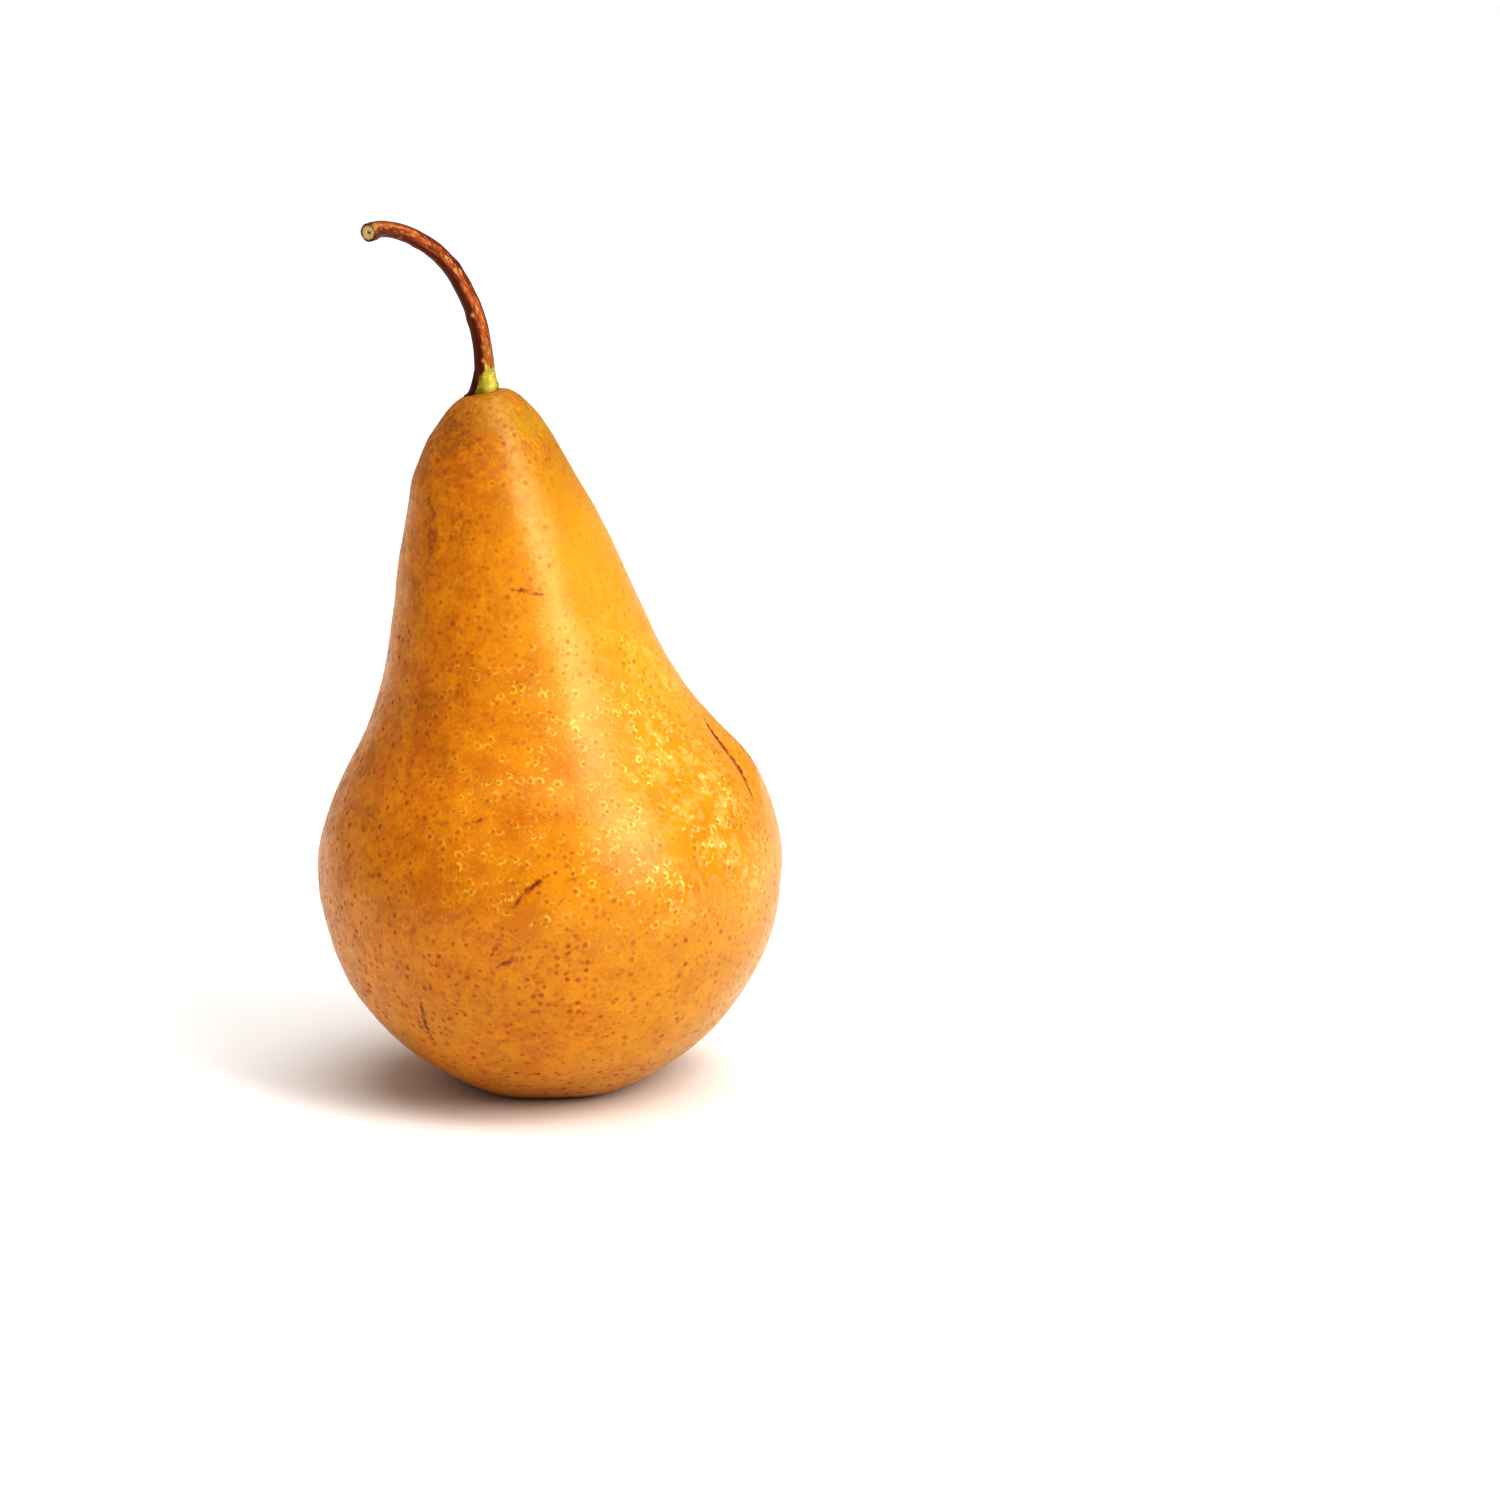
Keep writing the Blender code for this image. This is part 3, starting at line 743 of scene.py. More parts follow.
def bare_ground(add, slow, mottle, grain, pores):
    """Where the cork has split: broken rings round some pores, stray flecks between them, and a pale haze on
    the lit cheek that is partly a painted sheen.
    """
    beside, ratio, near, chance = pores
    green, blue, red = (chance.outputs[name] for name in ("Green", "Blue", "Red"))
    facing = add("CombineXYZ", {0: green, 1: blue, 2: red})
    facing = add("VectorMath", {0: facing, 1: HALF}, operation="SUBTRACT")
    side = add("VectorMath", {0: beside, 1: facing}, operation="DOT_PRODUCT")
    closed = add("MapRange", span(side, *RING_OPENING), **SMOOTH)
    outer = add("MapRange", span(ratio, *RING_OUTER), **SMOOTH)
    some = add("MapRange", span(green, *RING_CHANCE))
    ring = add("MapRange", span(ratio, *RING_INNER), **SMOOTH)
    for share in (outer, closed, near, some):
        ring = add("Math", {0: ring, 1: share}, operation="MULTIPLY")
    split = grain
    for pattern, weight in zip((ring, mottle, slow["flecks"]), SPLIT_WEIGHTS):
        split = add("Math", {0: pattern, 1: weight, 2: split}, operation="MULTIPLY_ADD")
    bare = add("MapRange", span(split, *SPLIT_EDGE), **SMOOTH)
    # A pale haze on the lit cheek: bare ground, and partly a painted milky sheen of the highlight.
    haze_and_sheen = add("MapRange", span(mottle, *HAZE_AND_SHEEN), **SMOOTH)
    haze_and_sheen = add("Math", {0: haze_and_sheen, 1: slow["cheek"]}, operation="MULTIPLY")
    bare = add("Math", {0: bare, 1: haze_and_sheen}, operation="MAXIMUM")
    strength = add("MapRange", span(slow["flecks"], *SPLIT_STRENGTH))
    return add("Math", {0: bare, 1: strength}, operation="MULTIPLY")


# %% Pores and cork lines
PORE = "#A0440A"
PORE_OLIVE = "#8E6C18"
CORK_LINE = "#7A300A"
PORE_EDGE = (1.2, 0.25)
PORE_CONTRAST = 1.6
PORE_STRENGTHS = (0.35, 1.15)
PORE_VEILED = 0.65
SPECK = (0.36, 0.24, 0.0, 0.45)
LINE_RAGGED = (-0.2, 0.2)
LINE_EDGE = (-0.25, 0.25)
LINE_BREAKS = (0.4, 0.55, 0.35, 1.0)


def pore_darkness(add, slow, grain, pores):
    """How dark the nearest pore or speck makes the skin."""
    ratio, near, chance = pores[1:]
    strength = add("Math", {0: chance.outputs["Blue"], 1: PORE_CONTRAST}, operation="POWER")
    strength = add("MapRange", span(strength, 0.0, 1.0, *PORE_STRENGTHS))
    veiled = add("MapRange", span(slow["flecks"], 0.0, 1.0, 1.0, PORE_VEILED))
    pore = add("MapRange", span(ratio, *PORE_EDGE), **SMOOTH)
    for share in (strength, slow["pores"], veiled, near):
        pore = add("Math", {0: pore, 1: share}, operation="MULTIPLY")
    speck = add("MapRange", span(grain, *SPECK), **SMOOTH)
    return add("Math", {0: pore, 1: speck}, operation="MAXIMUM")


def mark_line(add, mottle, grain):
    """The dark cork line of the nearest mark, with ragged edges."""
    mark = add("SeparateXYZ", {0: add("Attribute", attribute_name="mark").outputs["Vector"]})
    across = add("Math", {0: mark.outputs["X"]}, operation="ABSOLUTE")
    margin = add("Math", {0: mark.outputs["Y"], 1: across}, operation="SUBTRACT")
    ragged = add("MapRange", span(grain, *NOISE_RANGE, *LINE_RAGGED))
    margin = add("Math", {0: margin, 1: ragged}, operation="ADD")
    line = add("MapRange", span(margin, *LINE_EDGE), **SMOOTH)
    for share in (add("MapRange", span(mottle, *LINE_BREAKS)), mark.outputs["Z"]):
        line = add("Math", {0: line, 1: share}, operation="MULTIPLY")
    return line


# %% Skin material
WAX_TINT = "#FFEFD2"
GRAIN_HEIGHT = 0.03
MOTTLE_HEIGHT = 0.08
ROUGHNESS = (0.27, 0.38)
PORE_ROUGHER = 0.2
BROWN_ROUGHER = 0.12
PORE_FAINTNESS = (0.9, 0.5)
FLESH_GLOW = (1.0, 0.45, 0.12)
FLESH_GLOW_REACH = 1.2
SLOW_NAMES = ("cheek", "tone", "flecks", "green", "pale", "brown", "pores")


def waxed_russet():
    """Pear skin: cork over yellow ground under natural wax, satin, with a little light inside it."""
    material, add = new_material("Waxed russet pear skin")
    slow = {name: add("Attribute", attribute_name=name).outputs["Fac"] for name in SLOW_NAMES}
    mottle, grain, stirred, cell = skin_patterns(add)
    pores = pore_places(add, stirred, cell, slow["flecks"])
    dark = pore_darkness(add, slow, grain, pores)
    # Bare ground is yellow on the shaded left and paler cream on the lit right, where the cream is partly a
    # painted highlight.
    ground = add("Mix", {"Factor": slow["cheek"], "A": linear(GROUND), "B": linear(GROUND_PALE_AND_SHEEN)}, **RGBA)
    olive = add("MapRange", span(slow["pores"], *PORE_FAINTNESS))
    olive = add("Math", {0: slow["flecks"], 1: olive}, operation="MAXIMUM")
    pore = add("Mix", {"Factor": olive, "A": linear(PORE), "B": linear(PORE_OLIVE)}, **RGBA)
    colour = russet_colour(add, slow, mottle, grain)
    bare = bare_ground(add, slow, mottle, grain, pores)
    for share, over in ((bare, ground), (dark, pore), (mark_line(add, mottle, grain), linear(CORK_LINE))):
        colour = add("Mix", {"Factor": share, "A": colour, "B": over}, **RGBA)

    height = add("Math", {0: mottle, 1: MOTTLE_HEIGHT}, operation="MULTIPLY")
    height = add("Math", {0: grain, 1: GRAIN_HEIGHT, 2: height}, operation="MULTIPLY_ADD")
    rough = add("MapRange", span(mottle, *NOISE_RANGE, *ROUGHNESS))
    for share, rougher in ((dark, PORE_ROUGHER), (slow["brown"], BROWN_ROUGHER)):
        rough = add("Math", {0: share, 1: rougher, 2: rough}, operation="MULTIPLY_ADD")
    shader = add("BsdfPrincipled", {
        "Base Color": colour, "Roughness": rough,
        "Normal": add("Bump", {"Height": height, "Distance": MM, "Strength": 1.0}),
        "IOR": 1.45, "Specular IOR Level": 0.55, "Specular Tint": linear(WAX_TINT),
        "Subsurface Weight": 0.1, "Subsurface Radius": FLESH_GLOW, "Subsurface Scale": FLESH_GLOW_REACH * MM,
    })
    add("OutputMaterial", {"Surface": shader})
    print(material.name, "has", len(material.node_tree.nodes), "nodes")
    return material


# %% Fruit
FRUIT_COLUMNS = 352
SEAM_TURN = math.radians(90.0)
CREASE_CROWDING = 5.0
CREASE_CROWD_WIDTH = math.radians(9.0)


def crowded_turns(count):
    """Turns once round from the seam at the back, drawn closer together at the crease."""
    fine = np.linspace(0.0, math.tau, 5000)
    away = turn_from(fine, (CREASE_TURN_TOP + CREASE_TURN_BOTTOM) / 2 - SEAM_TURN)
    crowd = np.cumsum(1.0 + CREASE_CROWDING * np.exp(-(away / CREASE_CROWD_WIDTH) ** 2))
    crowd = (crowd - crowd[0]) / (crowd[-1] - crowd[0])
    return SEAM_TURN + np.interp(np.arange(count) / count, crowd, fine)


turns = crowded_turns(FRUIT_COLUMNS)
grid_turns, grid_radii = np.meshgrid(turns, outline_radii)
grid_heights = np.repeat(outline_heights[:, None], FRUIT_COLUMNS, axis=1)
fruit_points = dent(skin_points(grid_turns, grid_radii, grid_heights))
fruit = close_grid("pear_fruit", fruit_points, waxed_russet())
for name, share in slow_shares(fruit_points, grid_turns).items():
    paint(fruit, name, share)
paint(fruit, "mark", mark_places(fruit_points, surface_normals(fruit_points)))
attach(fruit, "root")
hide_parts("fruit")


# %% [markdown]
# ## The stem
# A pear's stem is wood under a thin glossy bark, red-brown; here the bark's colour is painted
# darker on the shaded left and underside and lighter on the lit front right. It rises out
# of the crown through a fleshy yellow-green collar that the bark covers in ragged tongues, and
# on its left a dark woody heel runs down on to the crown. A bevelled curve would give a plain
# tube. The same grid as the fruit's lets every ring have its own shape: the collar's foot
# follows the crown, the shaft has low knots, and the end is a lip of bark round cut wood.

# %% Sizes of the stem
STEM_PATH = (
    (-9.5, 3.5, 111.4), (-9.9, 3.6, 115.2), (-10.7, 3.4, 119.0), (-11.9, 2.9, 122.3),
    (-13.7, 1.8, 126.0), (-16.1, 0.2, 129.2), (-19.0, -1.7, 131.6), (-21.8, -3.9, 133.1),
    (-24.3, -6.6, 133.8), (-25.8, -9.8, 133.7),
)
STEM_RADII = (
    (0.0, 1.55), (0.08, 1.45), (0.3, 1.37), (0.6, 1.28), (0.85, 1.2), (0.93, 1.26), (0.97, 1.4), (1.0, 1.34),
)
STEM_KNOTS = ((0.22, 200.0, 0.12), (0.47, 20.0, 0.14), (0.68, 160.0, 0.1))
STEM_KNOT_HALF_LENGTH = 0.03
ROOT_BOTTOM = 105.0
ROOT_RADIUS = 1.5
COLLAR_RADIUS = 2.05
COLLAR_SHIFT = 0.35
COLLAR_FLARE = 0.5
COLLAR_RISE = 0.85
HEEL_TURN = math.radians(168.0)
HEEL_REACH = 1.25
HEEL_NARROWNESS = 3.0
HEEL_THINNING = 0.75
STEM_COLUMNS = 72
COLLAR_RINGS = 44
SHAFT_RINGS = 250
stem_turns = math.tau * np.arange(STEM_COLUMNS) / STEM_COLUMNS


# %% The stem's centre line
def smooth_curve(points, steps):
    """Read evenly spaced points from a smooth curve through the given ones, and its length."""
    points = np.array(points)
    points = np.concatenate(([2 * points[0] - points[1]], points, [2 * points[-1] - points[-2]]))
    share = np.linspace(0.0, 1.0, 20, endpoint=False)[:, None]
    fine = [0.5 * (2 * start + (end - before) * share
                   + (2 * before - 5 * start + 4 * end - after) * share ** 2
                   + (3 * start - before - 3 * end + after) * share ** 3)
            for before, start, end, after in zip(points, points[1:], points[2:], points[3:])]
    fine = np.concatenate(fine + [points[-2:-1]])
    length = np.concatenate(([0.0], np.cumsum(np.linalg.norm(np.diff(fine, axis=0), axis=1))))
    even = np.linspace(0.0, length[-1], steps + 1)
    return np.stack([np.interp(even, length, fine[:, axis]) for axis in range(3)], axis=-1), length[-1]


stem_line, stem_length = smooth_curve(STEM_PATH, SHAFT_RINGS)
stem_direction = np.gradient(stem_line, axis=0)
stem_direction = stem_direction / np.linalg.norm(stem_direction, axis=1, keepdims=True)
print("Free length of the stem:", round(float(stem_length), 1), "mm")


# %% [markdown]
# The bark carries pale nodules, the stem's own breathing pores, which stand out of it by a
# tenth of a millimetre. Two large ones are placed where they show, and a seeded draw
# spreads small ones over the rest.

# %% Nodules of the bark, as (share of the free length, turn in degrees, height, radius)
NODULES = [
    (0.245, -100.0, 0.14, 0.24), (0.035, -92.0, 0.12, 0.2),
    (0.4, 70.0, 0.12, 0.24), (0.74, 100.0, 0.11, 0.22),
]
SMALL_NODULES = 22
NODULE_STRETCH = 0.75
draw = np.random.default_rng(7)
for place in range(SMALL_NODULES):
    share, turn = draw.uniform(0.06, 0.9), draw.uniform(0.0, 360.0)
    NODULES.append((share, turn, draw.uniform(0.03, 0.06), draw.uniform(0.12, 0.2)))


def nodule_height(share, turns, radius):
    """How far the nodules stand out of the bark, on a grid of shares and turns."""
    out = np.zeros(np.broadcast(share, turns).shape)
    for place, turn, height, size in NODULES:
        across = turn_from(turns, math.radians(turn)) * radius
        far = np.hypot((share - place) * stem_length * NODULE_STRETCH, across) / size
        out = out + height * np.exp(-far ** 2)
    return out


# %% Rings of the shaft
STEM_WAVE = ((5.0, 0.05), (1.6, 0.035))
BARK_RIDGES = 9
BARK_RIDGE_HEIGHT = 0.022
RIDGE_DRIFT = 1.5
RIDGE_DRIFT_RATE = 4.0
RIDGE_UNEVENNESS = 2.0


def outward(directions):
    """Unit vectors square to the stem's directions, one ring of them for each."""
    across = np.cross((0.0, 1.0, 0.0), directions)
    across = (across / np.linalg.norm(across, axis=1, keepdims=True))[:, None]
    along = np.cross(directions[:, None], across)
    return np.cos(stem_turns)[:, None] * across + np.sin(stem_turns)[:, None] * along


def shaft_grid():
    """Rings square to the centre line, with knots, nodules and fine lengthwise ridges."""
    share = np.linspace(0.0, 1.0, SHAFT_RINGS + 1)[:, None]
    turns = stem_turns[None, :]
    radius = read_stations(STEM_RADII, share)
    reach = radius + nodule_height(share, turns, radius)
    for place, side, height in STEM_KNOTS:
        facing = np.maximum(0.0, np.cos(turns - math.radians(side)))
        reach = reach + height * np.exp(-((share - place) / STEM_KNOT_HALF_LENGTH) ** 2) * facing
    straight = (radius * np.cos(turns), radius * np.sin(turns), share * stem_length)
    straight = np.stack(np.broadcast_arrays(*straight), axis=-1)
    reach = reach + sum(height * noise_at(straight, size, start=size) for size, height in STEM_WAVE)
    drift = RIDGE_DRIFT * np.sin(share * RIDGE_DRIFT_RATE) + RIDGE_UNEVENNESS * np.sin(2.0 * turns)
    reach = reach + BARK_RIDGE_HEIGHT * np.sin(BARK_RIDGES * turns + drift)
    return stem_line[:, None] + reach[..., None] * outward(stem_direction)


# %% Rings of the root and the collar
SUNK = -0.3
COLLAR_LUMP = 1.3
COLLAR_LUMP_HEIGHT = 0.11
COLLAR_LUMP_START = 0.08
COLLAR_LUMP_FULLNESS = 0.7
COLLAR_EDGE_RINGS = (
    (SUNK, -0.12), (0.0, -0.04), (0.22, 0.03), (0.45, 0.05), (0.65, 0.03), (COLLAR_RISE, 0.0),
)


def crown_ring(radius, heel, shift, rise):
    """A ring that follows the crown under it, at a rise above the skin, less at the heel's toe."""
    root_x, root_y = centre_line(np.array(CROWN_TOP))
    toe = np.maximum(0.0, np.cos(stem_turns - HEEL_TURN)) ** HEEL_NARROWNESS
    reach = radius + heel * toe
    rise = rise - HEEL_THINNING * max(rise, 0.0) * toe * (heel > 0.0)
    across = shift + reach * np.cos(stem_turns)
    back = reach * np.sin(stem_turns)
    height = crown_height(np.hypot(across, back)) + CROWN_TILT * across + rise
    return np.stack((root_x + across, root_y + back, height), axis=-1)


def collar_grid(first_shaft_ring):
    """The hidden root, the collar's rounded foot, and its sweep up into the shaft."""
    root = crown_ring(ROOT_RADIUS, 0.0, 0.0, 0.0)
    root[:, 2] = ROOT_BOTTOM
    rings = [root, crown_ring(ROOT_RADIUS, 0.0, 0.0, 2.0 * SUNK)]
    for rise, swell in COLLAR_EDGE_RINGS:
        rings.append(crown_ring(COLLAR_RADIUS + swell, HEEL_REACH, COLLAR_SHIFT, rise))
    foot = rings[-1]
    for share in np.arange(1, COLLAR_RINGS) / COLLAR_RINGS:
        ring = foot + (first_shaft_ring - foot) * share ** COLLAR_FLARE
        ring[:, 2] = foot[:, 2] + (first_shaft_ring[:, 2] - foot[:, 2]) * share
        rings.append(ring)
    grid = np.stack(rings)
    lumps = COLLAR_LUMP_HEIGHT * noise_at(grid, COLLAR_LUMP, start=2.0)
    fade = np.zeros(len(grid))
    along = np.linspace(COLLAR_LUMP_START, 1.0, len(grid) - 3)
    fade[3:] = np.sin(math.pi * along) ** COLLAR_LUMP_FULLNESS
    return grid + surface_normals(grid) * (lumps * fade[:, None])[..., None]


# %% [markdown]
# The stem was snapped off its spur, so its end is a small disc of pale wood, ringed, with a
# dark pith in the middle and a lip of bark round it. The disc's rings are real steps of a few
# hundredths of a millimetre, and the colour follows the same radius.

# %% Rings of the cut end
LIP_RINGS = ((1.36, 0.08), (1.33, 0.17), (1.26, 0.23), (1.17, 0.24), (1.1, 0.19), (1.06, 0.1))
LIP_OVAL = 0.03
LIP_RIPPLE = 0.015
CUT_RADIUS = 1.04
CUT_RINGS = 16
CUT_RISE = 0.08
CUT_HOLLOW = 0.1
YEAR_RING_RATE = 22.0
YEAR_RING_STEP = 0.02
SPLINTER_HEIGHT = 0.03
PITH_RADIUS = 0.24
PITH_DEPTH = 0.14


def cut_grid():
    """From the last ring of the shaft over the bark's lip and in to the pith."""
    direction = stem_direction[-1]
    out = outward(stem_direction[-1:])[0]
    end = stem_line[-1]
    uneven = 1.0 + LIP_OVAL * np.sin(2 * stem_turns + 1.0) + LIP_RIPPLE * np.sin(5 * stem_turns)
    rings = [end + out * (radius * uneven)[:, None] + direction * rise for radius, rise in LIP_RINGS]
    for radius in np.linspace(CUT_RADIUS, 0.05, CUT_RINGS):
        rise = CUT_RISE - CUT_HOLLOW * (1.0 - (radius / CUT_RADIUS) ** 2)
        rise = rise + YEAR_RING_STEP * math.cos(radius * YEAR_RING_RATE)
        rise = rise - PITH_DEPTH * float(1.0 - ease(radius, 0.5 * PITH_RADIUS, 1.4 * PITH_RADIUS))
        splinter = SPLINTER_HEIGHT * noise_at(out * radius, 0.25, start=4.0)
        rings.append(end + out * radius + direction * (rise + splinter)[:, None])
    return np.stack(rings)


shaft_points = shaft_grid()
collar_points = collar_grid(shaft_points[0])
cut_points = cut_grid()
stem_points = np.concatenate((collar_points, shaft_points, cut_points))
print("Rings of collar, shaft and end:", [len(part) for part in (collar_points, shaft_points, cut_points)])


# %% [markdown]
# ## The bark, the green collar and the cut wood
# Bark is streaked along the stem, so its pattern is drawn in straightened coordinates: across
# the stem as on the real one, but along it squeezed, which draws each speck out into a streak.
# The straightened place is kept on the mesh as an attribute. Four more attributes say how far
# a point lies below the bark's ragged lower edge, how much painted light or shade its side of
# the stem gets, how much of a nodule it is, and how far from the middle of the cut end it lies.

# %% What the stem's material reads
BARK_EDGE = (
    (-180.0, -3.0), (-150.0, -3.0), (-132.0, -0.6), (-118.0, 2.3), (-104.0, 2.7), (-92.0, 3.1),
    (-84.0, 3.9), (-77.0, 4.7), (-70.0, 4.0), (-58.0, 3.9), (-46.0, 3.6), (-33.0, 3.7), (-10.0, 4.3),
    (15.0, 3.6), (40.0, 4.2), (70.0, 3.3), (100.0, 3.8), (125.0, 2.4), (145.0, 0.6), (160.0, -3.0),
    (180.0, -3.0),
)
BARK_EDGE_NOISE = ((0.8, 6.0, 0.35), (0.35, 1.0, 0.25))
# Painted light and shade of the stem, by turn: lightest at the lit front right, none on the shaded left and
# underside.
PAINTED_SIDE_LIGHT = (
    (-180.0, 0.0), (-150.0, 0.0), (-125.0, 0.1), (-100.0, 0.45), (-78.0, 0.8), (-58.0, 1.0), (-38.0, 0.85),
    (-20.0, 0.5), (0.0, 0.15), (40.0, 0.2), (90.0, 0.5), (140.0, 0.2), (180.0, 0.0),
)
MEAN_RADIUS = 1.3
COLLAR_LENGTH = 5.0
CUT_LENGTH = 0.4
FULL_NODULE = 0.1
ABOVE_CUT = 60.0


def stem_attributes():
    """By name: straightened places, heights below the bark's edge, painted light and shade of the side, and
    so on.
    """
    turns = np.broadcast_to(stem_turns, stem_points.shape[:2])
    degrees = (np.degrees(turns) + 180.0) % 360.0 - 180.0
    above = stem_points[..., 2] - collar_points[0, 0, 2]
    above[-len(cut_points):] = ABOVE_CUT
    edge = CROWN_TOP - ROOT_BOTTOM + read_stations(BARK_EDGE, degrees)
    for size, start, height in BARK_EDGE_NOISE:
        edge = edge + height * noise_at(stem_points, size, start=start)
    lengthwise = np.concatenate((
        np.linspace(-COLLAR_LENGTH, 0.0, len(collar_points)),
        np.linspace(0.0, stem_length, len(shaft_points)),
        np.linspace(stem_length, stem_length + CUT_LENGTH, len(cut_points)),
    ))
    lengthwise = np.broadcast_to(lengthwise[:, None], turns.shape)
    nodules = nodule_height(lengthwise / stem_length, turns, MEAN_RADIUS)
    across, back = MEAN_RADIUS * np.cos(turns), MEAN_RADIUS * np.sin(turns)
    return {
        "bark_place": np.stack((across, back, lengthwise), axis=-1),
        "below_bark": edge - above,
        "painted_side_light": read_stations(PAINTED_SIDE_LIGHT, degrees),
        "nodule": np.clip(nodules / FULL_NODULE, 0.0, 1.0),
        "cut_radius": np.linalg.norm(stem_points - stem_line[-1], axis=-1),
    }


# %% Bark colour
# The darkest bark colour is painted shade on the stem's left and underside; the lightest is painted light on
# its front right.
BARK_SHADED_SIDE = "#4A1007"
BARK_MID = "#5E1E08"
BARK_LIT_SIDE = "#AC5A2A"
BARK_WORN_AND_SHEEN = "#C09068"
BARK_OLIVE = "#A07C34"
NODULE_PALE = "#C08A58"
STREAK_WIDTH = 0.32
STREAK_LENGTH = 3.6
FLAKE_WIDTH = 0.34
FLAKE_SQUEEZE = 0.35
PATCH_WIDTH = 1.1
SPECKLE_WIDTH = 0.22
COLLAR_BLOTCH = 1.2
STREAK_LIGHT = (-0.28, 0.28)
PATCH_LIGHT = (0.35, 0.65, -0.25, 0.15)
BARK_STEPS = ((0.0, 0.55, BARK_MID), (0.5, 1.2, BARK_LIT_SIDE))
FLAKE_EDGE = (0.5, 0.68)
FLAKE_BY_PAINTED_LIGHT = (0.4, 1.0, 0.0, 0.9)
OLIVE_PATCH = (0.46, 0.6, 0.0, 0.75)
OLIVE_BY_COLLAR = (-5.5, 0.0)
OLIVE_TIP_LENGTH = 8.0
OLIVE_TIP_SHARE = 1.2


def bark_patterns(add, straight):
    """Streaks, patches, speckles, worn flakes and blotches, in straightened coordinates."""
    squeezed, drawn = (add("VectorMath", {0: straight, 1: (1.0, 1.0, squeeze)}, operation="MULTIPLY")
                       for squeeze in (STREAK_WIDTH / STREAK_LENGTH, FLAKE_SQUEEZE))
    kinds = ((squeezed, STREAK_WIDTH, 3.0), (squeezed, PATCH_WIDTH, 2.0), (straight, SPECKLE_WIDTH, 2.0),
             (drawn, FLAKE_WIDTH, 2.0), (straight, COLLAR_BLOTCH, 3.0))
    return [add("TexNoise", {"Vector": place, "Scale": 1 / width, "Detail": detail})
            for place, width, detail in kinds]


def bark_colour(add, straight, below, side, streak, patch, flake):
    """Bark, from painted shade on its shaded side over brown to painted light on its lit side, with worn
    pale flakes there that also paint the highlight, olive by the collar and at the tip.
    """
    # The bark's lightness starts from the painted light and shade of its side, then streaks and patches vary
    # it.
    light = side
    for inputs in (span(streak, *NOISE_RANGE, *STREAK_LIGHT), span(patch, *PATCH_LIGHT)):
        light = add("Math", {0: add("MapRange", inputs), 1: light}, operation="ADD")
    layers = [(add("MapRange", span(light, start, end)), over) for start, end, over in BARK_STEPS]
    # Pale worn flakes are shown only on the lit side, where they also paint the highlight.
    worn_and_sheen = add("MapRange", span(flake, *FLAKE_EDGE), **SMOOTH)
    worn_and_sheen = add("Math", {0: worn_and_sheen, 1: add("MapRange", span(side, *FLAKE_BY_PAINTED_LIGHT))}, operation="MULTIPLY")
    lengthwise = add("SeparateXYZ", {0: straight}).outputs["Z"]
    tip = span(lengthwise, float(stem_length) - OLIVE_TIP_LENGTH, float(stem_length), 0.0, OLIVE_TIP_SHARE)
    near = add("MapRange", span(below, *OLIVE_BY_COLLAR))
    near = add("Math", {0: near, 1: add("MapRange", tip)}, operation="MAXIMUM")
    olive = add("MapRange", span(patch, *OLIVE_PATCH))
    for share in (near, side):
        olive = add("Math", {0: olive, 1: share}, operation="MULTIPLY")
    nodule = add("Attribute", attribute_name="nodule").outputs["Fac"]
    colour = linear(BARK_SHADED_SIDE)
    for share, over in (*layers, (worn_and_sheen, BARK_WORN_AND_SHEEN), (olive, BARK_OLIVE), (nodule, NODULE_PALE)):
        colour = add("Mix", {"Factor": share, "A": colour, "B": linear(over)}, **RGBA)
    return colour


# %% Bark material
COLLAR_YELLOW = "#C6B656"
COLLAR_OLIVE = "#7E7A1A"
BARK_TINT = "#FFD2A4"
COLLAR_BY_PAINTED_LIGHT = 0.3
COLLAR_TONE = (0.55, 0.86)
BARK_RAGGED = (-0.25, 0.25)
BARK_FADE = (-0.4, 0.45)
STREAK_HEIGHTS = (0.0, 0.03)
BARK_THICKNESS = 0.05
BARK_ROUGHNESS = (0.5, 0.24)


